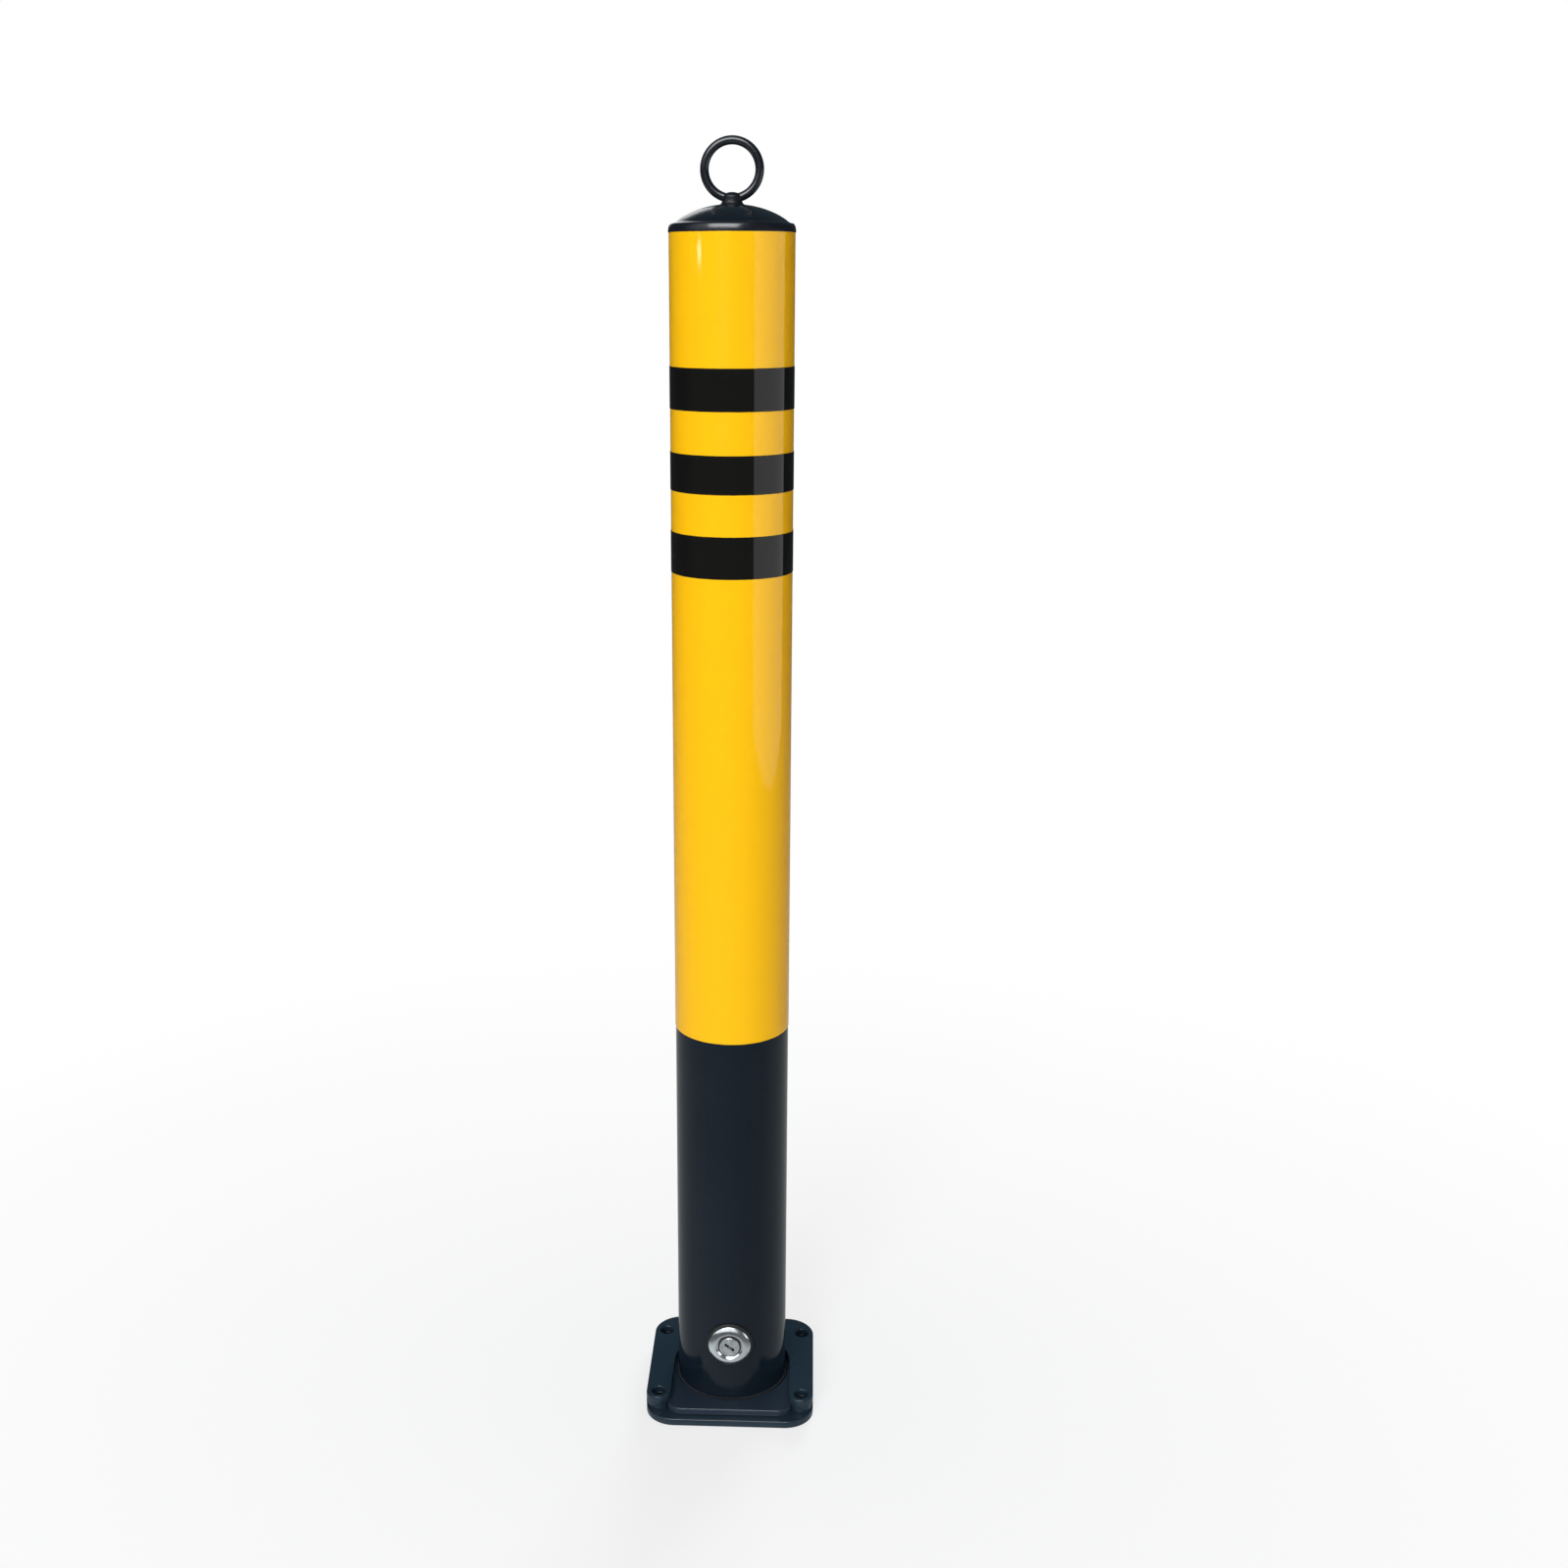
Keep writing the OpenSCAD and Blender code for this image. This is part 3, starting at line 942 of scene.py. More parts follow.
@dataclass
class GroundBase:
    """The base on the ground: floor plate, groove spacer and lip plate, welded together."""

    finishes: Finishes
    edge: float = 0.7 * MM
    slot_length: float = 38 * MM
    slot_width: float = 7 * MM
    groove_play: float = 0.3 * MM
    spacer_rim: float = 2.5 * MM
    corner: float = 20 * MM
    corner_steps: int = 20
    groove_steps: int = 64
    arm_steps: int = 32
    end_steps: int = 24

    def __post_init__(self) -> None:
        """Reads the plates' sizes from the frame."""
        mount = next(m for m in frame["record"]["mounts"] if m["name"] == "anchor_holes")
        self.hole_x = mount["dims"]["spacing_x_mm"] * MM / 2
        self.hole_y = mount["dims"]["spacing_y_mm"] * MM / 2
        self.hole_r = mount["dims"]["hole_r_mm"] * MM
        self.half_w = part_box("floor_plate")[1].x
        self.half_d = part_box("floor_plate")[1].y
        self.lip_r = 2 * self.hole_x - self.half_w
        self.groove_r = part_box("foot_plate")[1].x + self.groove_play

    def slots(self) -> list[Loop]:
        """The outlines of the two slots for the bolt's tongues.

        Returns:
            The outlines, from the record's openings.
        """
        found = []
        for opening in frame["record"]["physics"]["openings"]:
            if "tongue" in opening["name"]:
                low, high = opening["box_m"]
                middle = ((low[0] + high[0]) / 2, (low[1] + high[1]) / 2)
                found.append(slot_hole(middle, self.slot_length, self.slot_width))
        return found

    def holes(self) -> list[Loop]:
        """The outlines of the four anchor holes."""
        middles = [(x * self.hole_x, y * self.hole_y) for x in (-1, 1) for y in (-1, 1)]
        return [round_hole(middle, self.hole_r) for middle in middles]

    def corner_arc(self, x: int, y: int, start: float) -> Loop:
        """A quarter arc at one corner of the base."""
        centre = (x * (self.half_w - self.corner), y * (self.half_d - self.corner))
        return arc(centre, self.corner, start, start + 90, self.corner_steps)

    def back_edge(self) -> Loop:
        """The two back corners, which all three plates share."""
        return self.corner_arc(1, 1, 0) + self.corner_arc(-1, 1, 90)

    def floor_outline(self) -> Loop:
        """The floor plate's outline: a square with four round corners."""
        return self.corner_arc(1, -1, -90) + self.back_edge() + self.corner_arc(-1, -1, 180)

    def spacer_outline(self) -> Loop:
        """The spacer's outline, a U whose ends go round the front holes to the groove.

        Returns:
            The outline.
        """
        end_r = self.hole_r + self.spacer_rim
        meet = math.degrees(math.acos((self.hole_x - self.groove_r) / end_r))
        outline = self.back_edge() + [(-self.half_w, -self.hole_y)]
        outline += arc((-self.hole_x, -self.hole_y), end_r, 180, 360 - meet, self.end_steps)
        outline += arc((0, 0), self.groove_r, 180, 0, self.groove_steps)
        outline += arc((self.hole_x, -self.hole_y), end_r, 180 + meet, 360, self.end_steps)
        return outline + [(self.half_w, -self.hole_y)]

    def lip_outline(self) -> Loop:
        """The lip plate's outline, a U with round arm ends.

        Returns:
            The outline.
        """
        arm_r = self.half_w - self.hole_x
        outline = self.back_edge()
        outline += arc((-self.hole_x, -self.hole_y), arm_r, 180, 360, self.arm_steps)
        outline += arc((0, 0), self.lip_r, 180, 0, self.groove_steps)
        return outline + arc((self.hole_x, -self.hole_y), arm_r, 180, 360, self.arm_steps)

    def lay(self, name: str, node: str, loops: list[Loop], edge: float) -> None:
        """Builds one plate in the height of its solid, with the anchor holes.

        Args:
            name: the piece's name.
            node: the solid that it stands for.
            loops: its outline, and then any slots.
            edge: the radius of its edges.
        """
        low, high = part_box(node)
        made = plate(name, [loops[0], *self.holes(), *loops[1:]], low.z, high.z, edge)
        dress(made, self.finishes.base, Body.BASE, Slot.BASE_PAINT, (node,))

    def build(self) -> None:
        """Builds the three plates."""
        self.lay("base_floor", "floor_plate", [self.floor_outline(), *self.slots()], self.edge)
        self.lay("base_spacer", "groove_spacer", [self.spacer_outline()], self.edge / 2)
        self.lay("base_lip", "lip_plate", [self.lip_outline()], self.edge)


@dataclass
class SlidingFoot:
    """The foot plate that slides in the groove, and the weld of the tube on it."""

    finishes: Finishes
    base: GroundBase
    edge: float = 0.7 * MM
    corner: float = 10 * MM
    corner_steps: int = 16
    back_steps: int = 96
    drop: float = 1.3 * MM
    pitch: float = 1.5 * MM
    bead_out: float = 0.3 * MM
    bead_up: float = 0.2 * MM

    def build(self) -> None:
        """Builds the plate and its weld bead."""
        low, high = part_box("foot_plate")
        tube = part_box("post_tube")
        side, front = high.x - self.corner, low.y + self.corner
        outline = arc((side, front), self.corner, -90, 0, self.corner_steps)
        outline += arc((0, 0), high.x, 0, 180, self.back_steps)
        outline += arc((-side, front), self.corner, 180, 270, self.corner_steps)
        made = plate("sliding_foot", [outline, *self.base.slots()], low.z, tube[0].z, self.edge)
        dress(made, self.finishes.foot, Body.POST, Slot.POST_PAINT, ("foot_plate",))
        bead_r, bead_z = tube[1].x + self.bead_out, tube[0].z + self.bead_up
        finish = self.finishes.weld
        bead = bead_round("foot_weld", bead_r, bead_z, self.drop, self.pitch, finish)
        dress(bead, finish, Body.POST, Slot.POST_PAINT)


@dataclass
class WrappedTube:
    """The steel tube with its yellow film and three black bands."""

    finishes: Finishes
    wall: float = 2 * MM
    rim: float = 0.3 * MM
    hole_r: float = 9.7 * MM
    hole_reach: float = 60 * MM
    film: float = 0.3 * MM
    tape: float = 0.2 * MM
    edge: float = 0.1 * MM
    lap: float = 0.12 * MM
    seam: Point = (96.0, 110.0)
    segments: int = 192
    hole_segments: int = 64

    def sleeve(self, name: str, node: str, thick: float, finish: Finish, slot: Slot) -> None:
        """A film that stands for a solid sleeve, with the step where its end overlaps at the back.

        Args:
            name: the piece's name.
            node: the solid that it stands for.
            thick: the film's thickness.
            finish: its material.
            slot: its slot.
        """
        low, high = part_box(node)
        bottom, top, outer, edge = low.z, high.z, high.x, self.edge
        profile = [
            (outer - thick, bottom), (outer - edge, bottom), (outer, bottom + edge),
            (outer, top - edge), (outer - edge, top), (outer - thick, top),
        ]
        dress(lathe(name, profile, segments=self.segments), finish, Body.POST, slot, (node,))
        raised = outer + self.lap
        profile = [
            (outer - self.lap, bottom), (raised - edge / 2, bottom), (raised, bottom + edge),
            (raised, top - edge), (raised - edge / 2, top), (outer - self.lap, top),
        ]
        flap = lathe(name + "_lap", profile, segments=self.segments, sweep=self.seam)
        dress(flap, finish, Body.POST, slot)

    def build(self) -> None:
        """Builds the tube and what is stuck on it."""
        low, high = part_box("post_tube")
        outer, inner = high.x, high.x - self.wall
        profile = [
            (inner, low.z), (outer, low.z), (outer, high.z - self.rim),
            (outer - self.rim, high.z), (inner, high.z),
        ]
        tube = lathe("steel_tube", profile, segments=self.segments)
        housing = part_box("lock_housing")
        axis = along_lock((housing[0].z + housing[1].z) / 2)
        core = [(0, 0), (self.hole_r, 0), (self.hole_r, self.hole_reach), (0, self.hole_reach)]
        tube = cut(tube, lathe("lock_hole", core, axis, self.hole_segments))
        dress(tube, self.finishes.post, Body.POST, Slot.POST_PAINT, ("post_tube",))
        yellow, black = self.finishes.yellow, self.finishes.band
        self.sleeve("film_wrap", "yellow_film", self.film, yellow, Slot.YELLOW_FILM)
        for k in (1, 2, 3):
            self.sleeve(f"tape_{k}", f"black_band_{k}", self.tape, black, Slot.BLACK_FILM)


@dataclass
class CapAndRing:
    """The domed cap, its boss and the lifting ring."""

    finishes: Finishes
    rim_height: float = 4.7 * MM
    lip: float = 0.5 * MM
    lip_play: float = 0.05 * MM
    edge: float = 0.1 * MM
    edge_height: float = 0.15 * MM
    rim_round: float = 2.0 * MM
    ledge: float = 3.9 * MM
    fullness: float = 0.8
    fillet_share: float = 0.96
    fillet_step: float = 0.001
    hollow_end: float = 50.0
    wall: float = 2 * MM
    skirt_inset: float = 2.2 * MM
    neck_r: float = 5.9 * MM
    flare: float = 2.4 * MM
    flare_height: float = 0.9 * MM
    boss_sunk: float = 0.75 * MM
    boss_root: float = 0.6 * MM
    shoulder_over: float = 0.8 * MM
    lump_depth: float = 0.12 * MM
    lump_scale: float = 260.0
    lump_sharp: float = 60.0
    flatten: float = 0.85
    rim_steps: int = 16
    fillet_steps: int = 10
    dome_steps: int = 40
    hollow_steps: int = 24
    neck_steps: int = 18
    head_steps: int = 10
    segments: int = 192
    boss_segments: int = 72

    def __post_init__(self) -> None:
        """Reads the cap's reach from the frame."""
        low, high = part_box("domed_cap")
        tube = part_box("post_tube")[1]
        self.skirt_end, self.crown, self.rim_r = low.z, high.z, high.x
        self.tube_top = tube.z
        self.skirt_r = tube.x - self.skirt_inset
        self.base_r = self.rim_r - self.ledge
        self.rim_top = self.tube_top + self.rim_height
        self.rise = self.crown - self.rim_top

    def dome(self, share: float) -> Point:
        """A point of the dome's line, at a share of its radius."""
        return (self.base_r * share, self.rim_top + self.rise * (1 - share**2) ** self.fullness)

    def rim_line(self) -> Loop:
        """The section up the skirt and round the rim, whose lip hangs over the film.

        Returns:
            The line's points.
        """
        film_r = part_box("yellow_film")[1].x + self.lip_play
        lip_end = self.tube_top - self.lip
        foot = lip_end + self.edge_height
        line = [
            (self.skirt_r, self.skirt_end), (self.skirt_r, self.tube_top),
            (film_r, self.tube_top), (film_r, lip_end), (self.rim_r - self.edge, lip_end),
        ]
        for k in range(self.rim_steps + 1):
            turn = math.radians(90 * k / self.rim_steps)
            across = self.rim_r - self.rim_round * (1 - math.cos(turn))
            line.append((across, foot + (self.rim_top - foot) * math.sin(turn)))
        return line

    def top_line(self) -> Loop:
        """The section from the rim over a fillet and up the dome to the crown.

        Returns:
            The line's points.
        """
        # The fillet is a curve with its handle where the dome's slope meets the ledge.
        start = self.dome(self.fillet_share)
        before = self.dome(self.fillet_share - self.fillet_step)
        rise = start[1] - self.rim_top
        handle = start[0] + rise * (start[0] - before[0]) / (before[1] - start[1])
        ledge = self.rim_r - self.rim_round
        line = []
        for k in range(1, self.fillet_steps):
            t = k / self.fillet_steps
            across = (1 - t) ** 2 * ledge + 2 * t * (1 - t) * handle + t**2 * start[0]
            line.append((across, self.rim_top + t**2 * rise))
        for k in range(self.dome_steps):
            line.append(self.dome(self.fillet_share * (1 - k / self.dome_steps)))
        return line + [(0.0, self.crown)]

    def hollow_line(self) -> Loop:
        """The section's inner side, from the middle of the hollow down the skirt.

        Returns:
            The line's points.
        """
        hollow_r = (self.base_r**2 + self.rise**2) / (2 * self.rise) - self.wall
        centre = self.crown - self.wall - hollow_r
        end_r = self.skirt_r - self.wall
        line = arc((0, centre), hollow_r, 90, self.hollow_end, self.hollow_steps)
        line = [point for point in line if point[0] < end_r]
        line[0] = (0.0, line[0][1])
        return line + [(end_r, self.rim_top - self.wall), (end_r, self.skirt_end)]

    def boss(self, wire_z: float) -> Thing:
        """The boss under the ring: a neck that flares into the dome, uneven from its welding.

        Args:
            wire_z: the height of the wire's middle over the boss.

        Returns:
            The boss.
        """
        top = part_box("ring_boss")[1].z
        foot = self.crown - self.boss_sunk
        shoulder = wire_z + self.shoulder_over
        root = foot - self.boss_root
        profile = [(0.0, root), (self.neck_r + self.flare, root)]
        for k in range(self.neck_steps + 1):
            height = foot + (shoulder - foot) * k / self.neck_steps
            radius = self.neck_r + self.flare * math.exp((foot - height) / self.flare_height)
            profile.append((radius, height))
        head_r = profile[-1][0]
        for k in range(1, self.head_steps):
            turn = math.radians(90 * k / self.head_steps)
            profile.append((head_r * math.cos(turn), shoulder + (top - shoulder) * math.sin(turn)))
        profile.append((0.0, top))
        core = lathe("ring_weld", profile, segments=self.boss_segments)
        made = bmesh.new()
        made.from_mesh(core.data)
        bpy.data.objects.remove(core)
        for vert in made.verts:
            lump = noise.noise(vert.co * self.lump_scale) * self.lump_depth
            vert.co += Vector((vert.co.x, vert.co.y, 0)).normalized() * lump
            vert.co.y *= self.flatten
        return piece("ring_weld", mesh_from("ring_weld", made, self.lump_sharp))

    def build(self) -> None:
        """Builds the cap, the ring and the boss."""
        profile = self.rim_line() + self.top_line() + self.hollow_line()
        cap = lathe("cap_dome", profile, segments=self.segments)
        dress(cap, self.finishes.cap, Body.POST, Slot.CAP_PAINT, ("domed_cap",))
        low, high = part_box("lift_ring")
        wire, middle = high.y, (low.z + high.z) / 2
        ring_r = high.x - wire
        ring = wire_ring("eye_ring", ring_r, wire, middle, self.finishes.cap)
        dress(ring, self.finishes.cap, Body.POST, Slot.CAP_PAINT, ("lift_ring",))
        boss = self.boss(middle - ring_r)
        dress(boss, self.finishes.weld, Body.POST, Slot.CAP_PAINT, ("ring_boss",))


@dataclass
class KeyLock:
    """The lock at the front: chrome housing, rubber seal and the plug with its keyway."""

    finishes: Finishes
    barrel_r: float = 9.5 * MM
    barrel_chamfer: float = 0.8 * MM
    bore_r: float = 5.06 * MM
    bore_play: float = 0.06 * MM
    seat_depth: float = 4.06 * MM
    flange: float = 2.8 * MM
    flange_edge: float = 0.25 * MM
    crown: Point = (34.0, 4.0)
    brim: float = 0.8 * MM
    dish_width: float = 2.2 * MM
    dish_brow: float = 0.3 * MM
    groove_width: float = 0.9 * MM
    groove_slope: float = 1.2 * MM
    groove_depth: float = 2.2 * MM
    # Painted shade: a ring of dark rubber finish fills the groove round the plug; its floor, and its
    # front at the inner and outer side.
    shade_ring_floor: float = 2.1 * MM
    shade_ring_inner: float = 1.5 * MM
    shade_ring_outer: float = 1.3 * MM
    seal_play: float = 0.2 * MM
    seal_edge: float = 0.8 * MM
    seal_reach: float = 9 * MM
    seal_gap: float = 0.05 * MM
    core_reach: float = 120 * MM
    shank_r: float = 5 * MM
    tail_r: float = 3.3 * MM
    tail_chamfer: float = 0.3 * MM
    tail_length: float = 3.9 * MM
    head_depth: float = 4 * MM
    face_edge: float = 0.5 * MM
    face_ring: Point = (1.3 * MM, 2.2 * MM)
    face_ring_slope: float = 0.2 * MM
    face_ring_depth: float = 0.3 * MM
    slope: float = -35.0
    keyway_width: float = 1.8 * MM
    keyway_length: float = 8 * MM
    keyway_depth: float = 9 * MM
    keyway_over: float = 0.5 * MM
    first_wafer: float = 2.2 * MM
    brim_steps: int = 8
    crown_steps: int = 12
    seal_steps: int = 6
    face_steps: int = 5
    segments: int = 128
    plug_segments: int = 96

    def __post_init__(self) -> None:
        """Reads the lock's place and reach from the frame."""
        low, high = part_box("lock_housing")
        self.place = along_lock((low.z + high.z) / 2)
        self.front, self.end, self.flange_r = -low.y, -high.y, high.x
        self.back = self.front - self.flange
        self.face_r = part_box("lock_plug")[1].x
        self.gap_r = self.face_r + self.groove_width

    def flange_line(self) -> Loop:
        """The section of the flange's front: a thin brim, and a crowned face up to its brow.

        Returns:
            The line's points.
        """
        brow_r = self.face_r + self.dish_width + self.dish_brow
        steep, flat = (math.radians(angle) for angle in self.crown)
        edge_r = self.flange_r - self.brim * (1 - math.sin(steep))
        bow = (edge_r - brow_r) / (math.sin(steep) - math.sin(flat))
        fall = bow * (math.cos(flat) - math.cos(steep))
        brim_at = (self.flange_r - self.brim, self.front - fall - self.brim * math.cos(steep))
        line = arc(brim_at, self.brim, 0, 90 - self.crown[0], self.brim_steps)
        for k in range(1, self.crown_steps + 1):
            tilt = steep + (flat - steep) * k / self.crown_steps
            across = brow_r + bow * (math.sin(tilt) - math.sin(flat))
            line.append((across, self.front - bow * (math.cos(flat) - math.cos(tilt))))
        return line

    def housing(self) -> None:
        """The housing: barrel, crowned flange and the groove round the plug's face."""
        front, back, end = self.front, self.back, self.end
        chamfer, edge = self.barrel_chamfer, self.flange_edge
        profile = [
            (self.bore_r, end), (self.barrel_r - chamfer, end), (self.barrel_r, end + chamfer),
            (self.barrel_r, back), (self.flange_r - edge, back), (self.flange_r, back + edge),
        ]
        profile += self.flange_line()
        dish_r = self.face_r + self.dish_width
        seat_r = self.face_r + self.bore_play
        groove_floor = front - self.groove_depth
        # The dish starts with a small broken edge, and then slopes down to the groove's wall.
        profile += [
            (dish_r + 0.05 * MM, front - 0.08 * MM), (dish_r - 0.1 * MM, front - 0.3 * MM),
            (self.gap_r, front - self.groove_slope), (self.gap_r, groove_floor),
            (seat_r, groove_floor), (seat_r, front - self.seat_depth),
            (self.bore_r, front - self.seat_depth),
        ]
        made = lathe("lock_body", profile, self.place, self.segments)
        dress(made, self.finishes.chrome, Body.POST, Slot.LOCK_CHROME, ("lock_housing",))

    def dust_and_shade(self) -> None:
        """A ring of dark rubber finish in the groove round the plug: painted shade where the groove lies
        in shadow.
        """
        inner, outer = self.face_r + self.bore_play, self.gap_r - self.bore_play / 2
        bottom = self.front - self.shade_ring_floor
        profile = [
            (inner, bottom), (outer, bottom),
            (outer, self.front - self.shade_ring_outer), (inner, self.front - self.shade_ring_inner),
        ]
        # Painted shade: the dark ring stands for the groove's shadow.
        made = lathe("painted_shade_ring", profile, self.place, self.plug_segments)
        dress(made, self.finishes.rubber, Body.POST, Slot.SEAL_RUBBER)

    def seal(self) -> None:
        """The rubber ring between the flange and the round tube."""
        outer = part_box("lock_seal")[1].x
        inner = self.barrel_r + self.seal_play
        edge, foot = self.seal_edge, self.back - self.seal_reach
        profile = [(inner, foot), (outer, foot), (outer, self.back - edge - 0.1 * MM)]
        profile += arc((outer - edge, self.back - edge), edge, 0, 90, self.seal_steps)
        profile += [(inner, self.back)]
        ring = lathe("lock_gasket", profile, self.place, self.segments)
        core_r, core_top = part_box("post_tube")[1].x + self.seal_gap, self.core_reach
        core = lathe("tube_core", [(0, 0), (core_r, 0), (core_r, core_top), (0, core_top)])
        ring = cut(ring, core)
        dress(ring, self.finishes.rubber, Body.POST, Slot.SEAL_RUBBER, ("lock_seal",))

    def keyway(self, turned: Matrix, face: float) -> Thing:
        """The block that cuts the keyway.

        Args:
            turned: the lock's place, turned to the keyway's slope.
            face: the distance of the plug's face from the tube's axis.

        Returns:
            The block, which stands out of the face by a little.
        """
        made = bmesh.new()
        bmesh.ops.create_cube(made, size=1.0)
        scale = Matrix.Diagonal((self.keyway_length, self.keyway_width, self.keyway_depth, 1))
        shift = Matrix.Translation((0, 0, face - self.keyway_depth / 2 + self.keyway_over))
        made.transform(turned @ shift @ scale)
        return piece("keyway_tool", mesh_from("keyway_tool", made))

    def plug(self) -> None:
        """The plug with its tail, its ringed face and its keyway, and the wafers that show in it."""
        low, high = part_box("lock_plug")
        tail, face = -high.y, -low.y
        shoulder, neck = tail + self.tail_length, self.front - self.head_depth
        chamfer, edge, face_r = self.tail_chamfer, self.face_edge, self.face_r
        profile = [
            (0, tail), (self.tail_r - chamfer, tail), (self.tail_r, tail + chamfer),
            (self.tail_r, shoulder), (self.shank_r, shoulder), (self.shank_r, neck),
            (face_r, neck), (face_r, face - edge),
        ]
        profile += arc((face_r - edge, face - edge), edge, 0, 90, self.face_steps)
        outer, inner = (face_r - inset for inset in self.face_ring)
        ring_slope, ring_floor = self.face_ring_slope, face - self.face_ring_depth
        profile += [
            (outer, face), (outer - ring_slope, ring_floor),
            (inner + ring_slope, ring_floor), (inner, face), (0, face),
        ]
        made = lathe("plug_body", profile, self.place, self.plug_segments)
        turned = self.place @ Matrix.Rotation(math.radians(self.slope), 4, "Z")
        made = cut(made, self.keyway(turned, face))
        dress(made, self.finishes.plug, Body.PLUG, Slot.PLUG_METAL, ("lock_plug",))
        dress(self.wafers(turned, face), self.finishes.zinc, Body.PLUG, Slot.ZINC_STEEL)

    def wafers(self, turned: Matrix, face: float) -> Thing:
        """The lock's wafers: thin plates across the keyway, one behind another.

        Args:
            turned: the lock's place, turned to the keyway's slope.
            face: the distance of the plug's face from the tube's axis.

        Returns:
            The wafers.
        """
        recipe = Recipe("key_wafers")
        pitch = recipe.maths("MULTIPLY", recipe.size("Pitch", 1.6 * MM), -1.0)
        first = recipe.size("First wafer", face - self.first_wafer)
        line = recipe.node(
            "MeshLine", Count=recipe.size("Wafers", 4), Offset=recipe.vector(z=pitch),
            Start_Location=recipe.vector(z=first),
        )
        sides = (("Length", 2.6 * MM), ("Width", 1.9 * MM), ("Thickness", 0.6 * MM))
        block = recipe.vector(*(recipe.size(name, side) for name, side in sides))
        blade = recipe.node("MeshCube", Size=block)
        aside = recipe.size("Largest shift", 1.6 * MM)
        shift = recipe.random(recipe.maths("MULTIPLY", aside, -1.0), aside, 3)
        placed = recipe.node("InstanceOnPoints", Points=line.outputs[0], Instance=blade.outputs[0])
        moved = recipe.node(
            "TranslateInstances", Instances=placed.outputs[0], Translation=recipe.vector(x=shift)
        )
        made = recipe.build(moved.outputs[0], self.finishes.zinc)
        made.data.polygons.foreach_set("use_smooth", [False] * len(made.data.polygons))
        made.data.transform(turned)
        return made

    def build(self) -> None:
        """Builds what shows of the lock, and its inner end."""
        self.housing()
        self.dust_and_shade()
        self.seal()
        self.plug()


@dataclass
class LockWorks:
    """What works inside the tube: the solids are right, so they only get their finish."""

    finishes: Finishes
    zinc_plated: tuple[str, ...] = (
        "lock_washer", "lock_nut", "bolt_guide_left", "bolt_guide_right", "lock_crank", "lock_bolt",
    )

    def build(self) -> None:
        """Finishes the inner pieces."""
        for name in self.zinc_plated:
            self.finish(name, self.finishes.zinc)
        self.finish("lock_clip", self.finishes.spring)

    def finish(self, name: str, material: Finish) -> None:
        """Gives one solid its material.

        Args:
            name: the solid's name.
            material: its material.
        """
        mesh = frame["nodes"][name].data
        mesh.materials.clear()
        mesh.materials.append(material)
        LOG.info("%s: finished as %s", name, material.name)


# Studio


@dataclass
class Surround:
    """The world: white to the camera, an even fill to the paint, and a yard in soft shades to the gloss.

    Each turn is the stretch of the ray's direction, along one axis, in which two shades blend.
    """

    fill: Colour = (0.27, 0.285, 0.3)
    fill_side: Colour = (0.32, 0.2, 0.13)
    floor_left: Colour = (0.56, 0.61, 0.63)
    floor_right: Colour = (0.38, 0.4, 0.4)
    front_wall: Colour = (0.11, 0.12, 0.12)
    front_sky: Colour = (1.0, 1.04, 1.08)
    back_floor: Colour = (0.4, 0.42, 0.42)
    back_wall: Colour = (0.03, 0.034, 0.04)
    back_sky: Colour = (0.04, 0.072, 0.095)
    fill_turn: Point = (0.2, 0.9)
    floor_turn: Point = (-0.7, 0.7)
    sky_turn: Point = (0.15, 0.45)
    front_foot: Point = (-0.6, -0.22)
    front_top: Point = (0.05, 0.25)
    back_foot: Point = (-0.45, -0.12)
    back_top: Point = (0.1, 0.5)
    back_turn: Point = (-0.45, 0.15)

    def __post_init__(self) -> None:
        """Starts the world's node tree with the ray's direction."""
        world = bpy.data.worlds.new("surround")
        bpy.context.scene.world = world
        world.use_nodes = True
        self.wiring = Wiring(world.node_tree)
        self.way = self.wiring.add("ShaderNodeSeparateXYZ")
        direction = self.wiring.add("ShaderNodeTexCoord").outputs["Generated"]
        self.wiring.join(direction, self.way.inputs[0])

    def share(self, axis: str, turn: Point) -> Socket:
        """A smooth step from 0 to 1 as the ray's direction passes a turn along an axis."""
        return self.wiring.ranged(self.way.outputs[axis], 0.0, 1.0, turn, smooth=True)

    def light(self, colour: Colour | Socket) -> Socket:
        """A background shader of a colour.

        Args:
            colour: the colour.

        Returns:
            The shader.
        """
        made = self.wiring.add("ShaderNodeBackground")
        self.wiring.feed(colour, made.inputs["Color"])
        return made.outputs[0]

    def gloss(self) -> Socket:
        """What the gloss shows: a pale floor, dark walls, and a sky that is bright at the front left.

        Returns:
            The colour.
        """
        blended = self.wiring.blended
        floor = blended(self.share("X", self.floor_turn), self.floor_left, self.floor_right)
        yard = blended(self.share("Z", self.front_foot), floor, self.front_wall)
        sky = blended(self.share("X", self.sky_turn), self.front_sky, self.front_wall)
        front = blended(self.share("Z", self.front_top), yard, sky)
        wall = blended(self.share("Z", self.back_foot), self.back_floor, self.back_wall)
        back = blended(self.share("Z", self.back_top), wall, self.back_sky)
        return blended(self.share("Y", self.back_turn), front, back)

    def build(self) -> None:
        """Joins the parts of the surround, one for each kind of ray."""
        wiring = self.wiring
        sideways = wiring.maths("ABSOLUTE", self.way.outputs["X"])
        turned = wiring.ranged(sideways, 0.0, 1.0, self.fill_turn, smooth=True)
        fill = wiring.blended(turned, self.fill, self.fill_side)
        rays = wiring.add("ShaderNodeLightPath")
        shown = self.light((1.0, 1.0, 1.0))
        for colour, ray in ((self.gloss(), "Is Glossy Ray"), (fill, "Is Diffuse Ray")):
            shown = wiring.mixed(rays.outputs[ray], shown, self.light(colour))
        wiring.join(shown, wiring.add("ShaderNodeOutputWorld").inputs["Surface"])


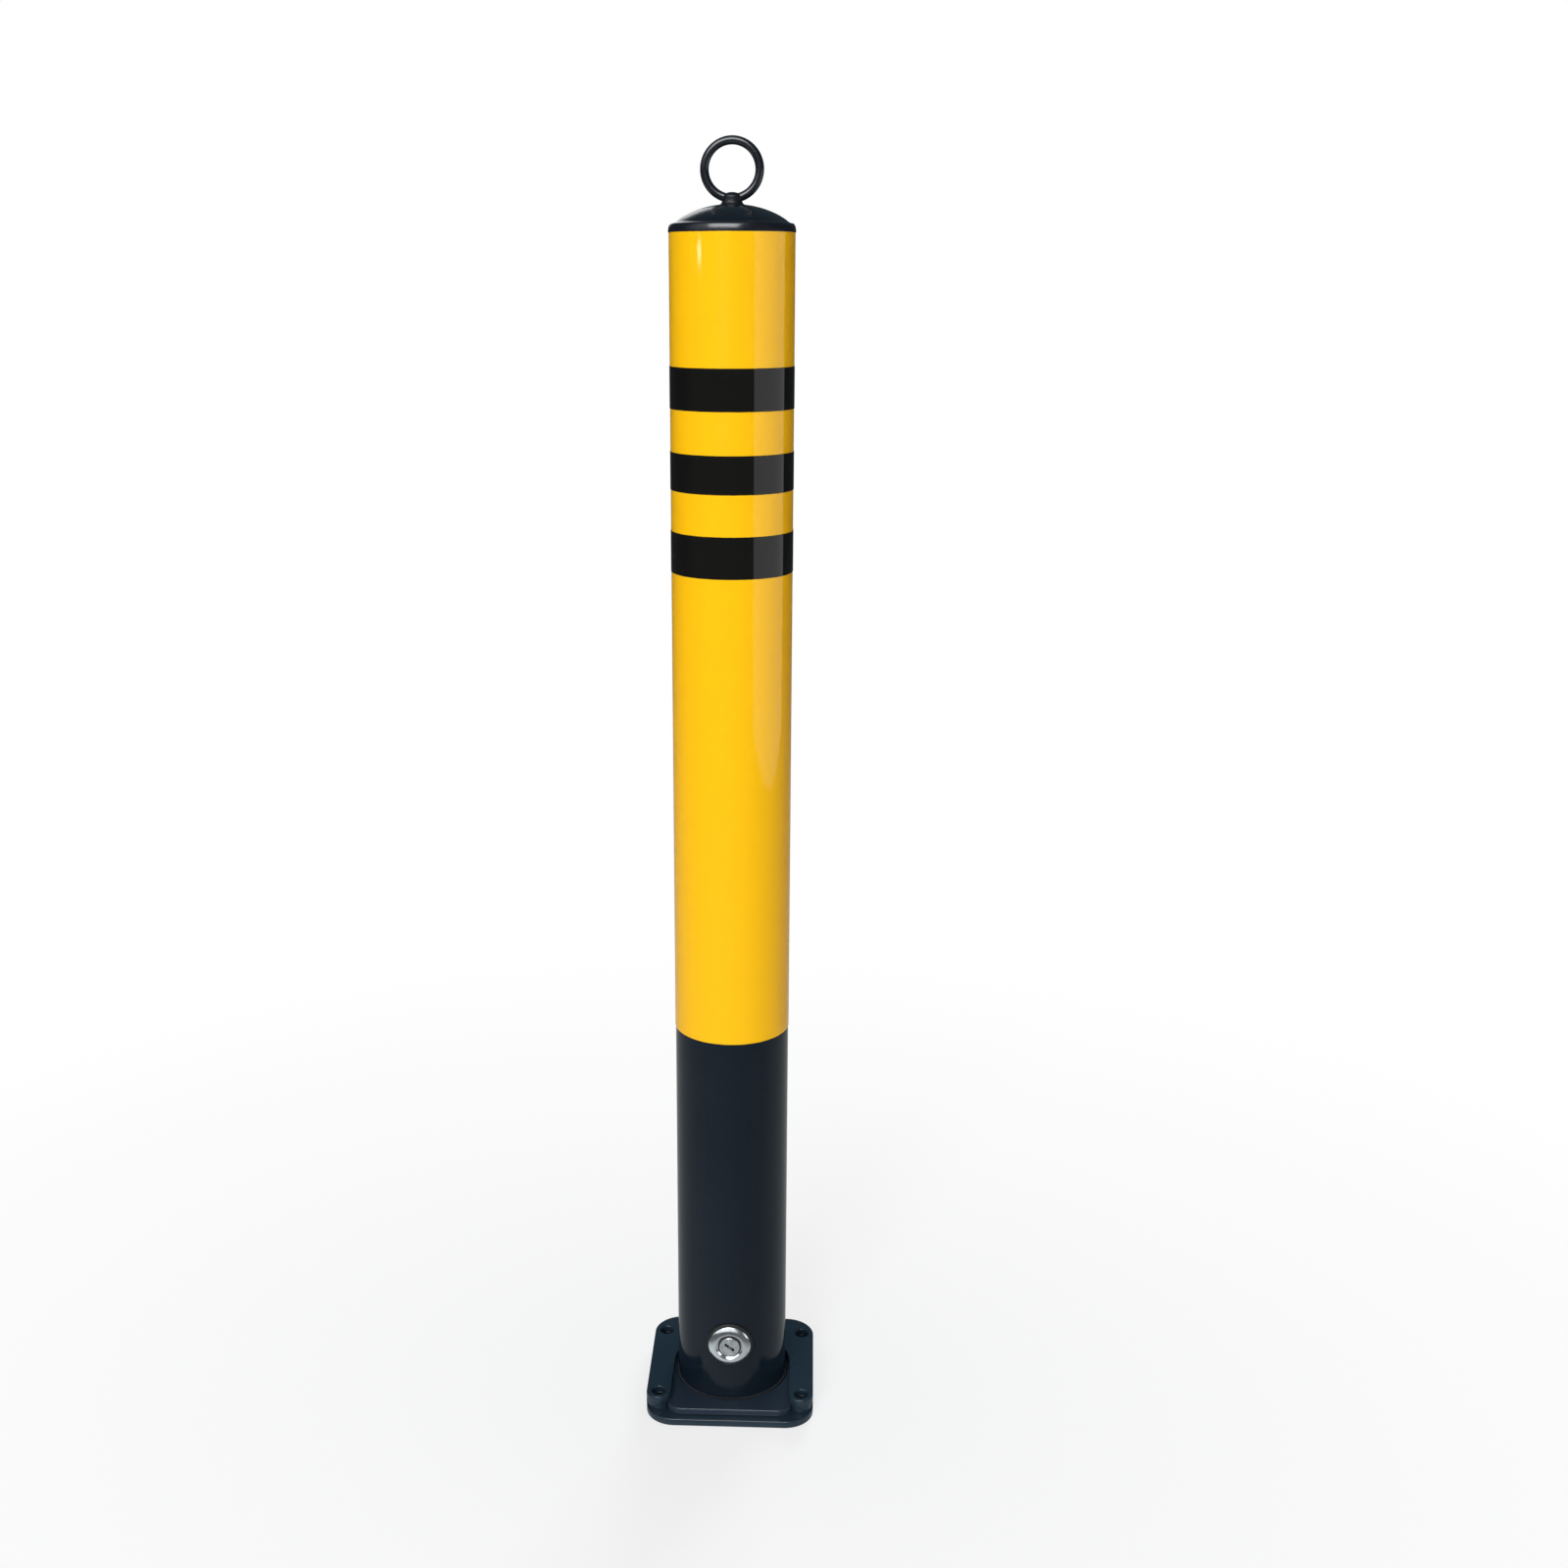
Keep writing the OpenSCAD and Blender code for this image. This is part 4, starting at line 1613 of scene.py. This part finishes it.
@dataclass(frozen=True)
class SoftBox:
    """A lamp that faces the post.

    Attributes:
        name: the lamp's name.
        azimuth: its direction from the post, 0 at the front and positive to the right.
        height: its height.
        distance: its distance from the post's axis.
        size: its width and height.
        power: its power in watts.
        facing: which light it gives.
        aimed_at: the height on the post that it faces.
    """

    name: str
    azimuth: float
    height: float
    distance: float
    size: Point
    power: float
    facing: Facing
    aimed_at: float

    def hang(self) -> None:
        """Makes the lamp and puts it in its place."""
        data = bpy.data.lights.new(self.name, "AREA")
        data.shape = "RECTANGLE"
        data.size, data.size_y = self.size
        data.energy = self.power
        made = bpy.data.objects.new(self.name, data)
        bpy.context.scene.collection.objects.link(made)
        turn = math.radians(self.azimuth)
        across, away = self.distance * math.sin(turn), -self.distance * math.cos(turn)
        made.location = (across, away, self.height)
        aim = Vector((0, 0, self.aimed_at)) - made.location
        made.rotation_euler = aim.to_track_quat("-Z", "Y").to_euler()
        made.visible_camera = False
        made.visible_diffuse = self.facing is Facing.SOFT_ONLY
        made.visible_glossy = self.facing is Facing.GLOSS_ONLY


@dataclass
class Studio:
    """A pale floor, the surround, soft lamps and the camera at the photograph's angle."""

    azimuth: float = 2.5
    pitch: float = 15.45
    distance: float = 1.150
    height: float = 0.7616
    focal_px: float = 1861.6
    image_px: int = 1600
    post_px: float = 747.0
    sensor: float = 36.0
    near: float = 20 * MM
    floor_r: float = 40.0
    floor_drop: float = 0.2 * MM
    floor_colour: Colour = (0.9, 0.95, 0.98)
    white_share: Point = (0.7, 1.0)
    white_reach: Point = (0.12, 0.9)
    lamps: tuple[SoftBox, ...] = (
        SoftBox("front_key", -14.0, 1.0, 2.6, (1.0, 1.4), 53.0, Facing.SOFT_ONLY, 0.5),
        SoftBox("back_key", 166.0, 1.0, 2.6, (1.0, 1.4), 53.0, Facing.SOFT_ONLY, 0.5),
        SoftBox("top_box", -14.0, 1.95, 1.5, (1.7, 1.1), 52.0, Facing.GLOSS_ONLY, 0.8),
        SoftBox("right_panel", 78.0, 0.4, 2.0, (2.8, 1.0), 8.4, Facing.GLOSS_ONLY, 0.4),
        SoftBox("left_spot", -58.0, 0.803, 1.8, (0.25, 0.028), 0.21, Facing.GLOSS_ONLY, 0.79),
        SoftBox("far_panel", -163.0, 0.965, 0.5, (0.15, 0.23), 0.17, Facing.GLOSS_ONLY, 0.8),
    )

    def camera(self) -> None:
        """Places the camera."""
        data = bpy.data.cameras.new("camera")
        data.sensor_width = self.sensor
        data.lens = self.sensor * self.focal_px / self.image_px
        data.shift_x = (self.image_px / 2 - self.post_px) / self.image_px
        data.clip_start = self.near
        made = bpy.data.objects.new("camera", data)
        bpy.context.scene.collection.objects.link(made)
        turn = math.radians(self.azimuth)
        across, away = self.distance * math.sin(turn), -self.distance * math.cos(turn)
        made.location = (across, away, self.height)
        made.rotation_euler = (math.radians(90 - self.pitch), 0, turn)
        bpy.context.scene.camera = made

    def floor_finish(self) -> Finish:
        """The floor's finish: pale, with the post's shadow near it, and white to the camera far off.

        Returns:
            The material.
        """
        board = Board("pale_floor")
        board.constant(Base_Color=self.floor_colour, Roughness=0.9, Specular_IOR_Level=0.0)
        white = board.add("ShaderNodeEmission")
        board.feed((1.0, 1.0, 1.0), white.inputs["Color"])
        far = board.add("ShaderNodeVectorMath")
        far.operation = "LENGTH"
        board.join(board.place, far.inputs[0])
        share = board.ranged(far.outputs["Value"], *self.white_share, self.white_reach)
        seen = board.add("ShaderNodeLightPath").outputs["Is Camera Ray"]
        whitened = board.maths("MULTIPLY", seen, share)
        both = board.mixed(whitened, board.shader.outputs[0], white.outputs[0])
        board.join(both, board.output.inputs["Surface"])
        return board.material

    def floor(self) -> None:
        """Lays a wide pale floor just under the post."""
        made = bmesh.new()
        bmesh.ops.create_circle(made, cap_ends=True, segments=96, radius=self.floor_r)
        mesh = bpy.data.meshes.new("studio_floor")
        made.to_mesh(mesh)
        made.free()
        floor = piece("studio_floor", mesh)
        floor.location.z = -self.floor_drop
        floor.visible_glossy = False
        mesh.materials.append(self.floor_finish())

    def build(self) -> None:
        """Sets up the whole studio."""
        self.camera()
        Surround().build()
        self.floor()
        for lamp in self.lamps:
            lamp.hang()
        bpy.context.scene.view_settings.view_transform = "Standard"
        LOG.info("studio: %d lamps", len(self.lamps))


def main() -> None:
    """Builds the studio and every sub-assembly, in order."""
    logging.basicConfig(level=logging.INFO, format="%(name)s: %(message)s")
    Studio().build()
    finishes = Finishes()
    base = GroundBase(finishes)
    base.build()
    SlidingFoot(finishes, base).build()
    WrappedTube(finishes).build()
    CapAndRing(finishes).build()
    KeyLock(finishes).build()
    LockWorks(finishes).build()


if __name__ == "__main__":
    main()
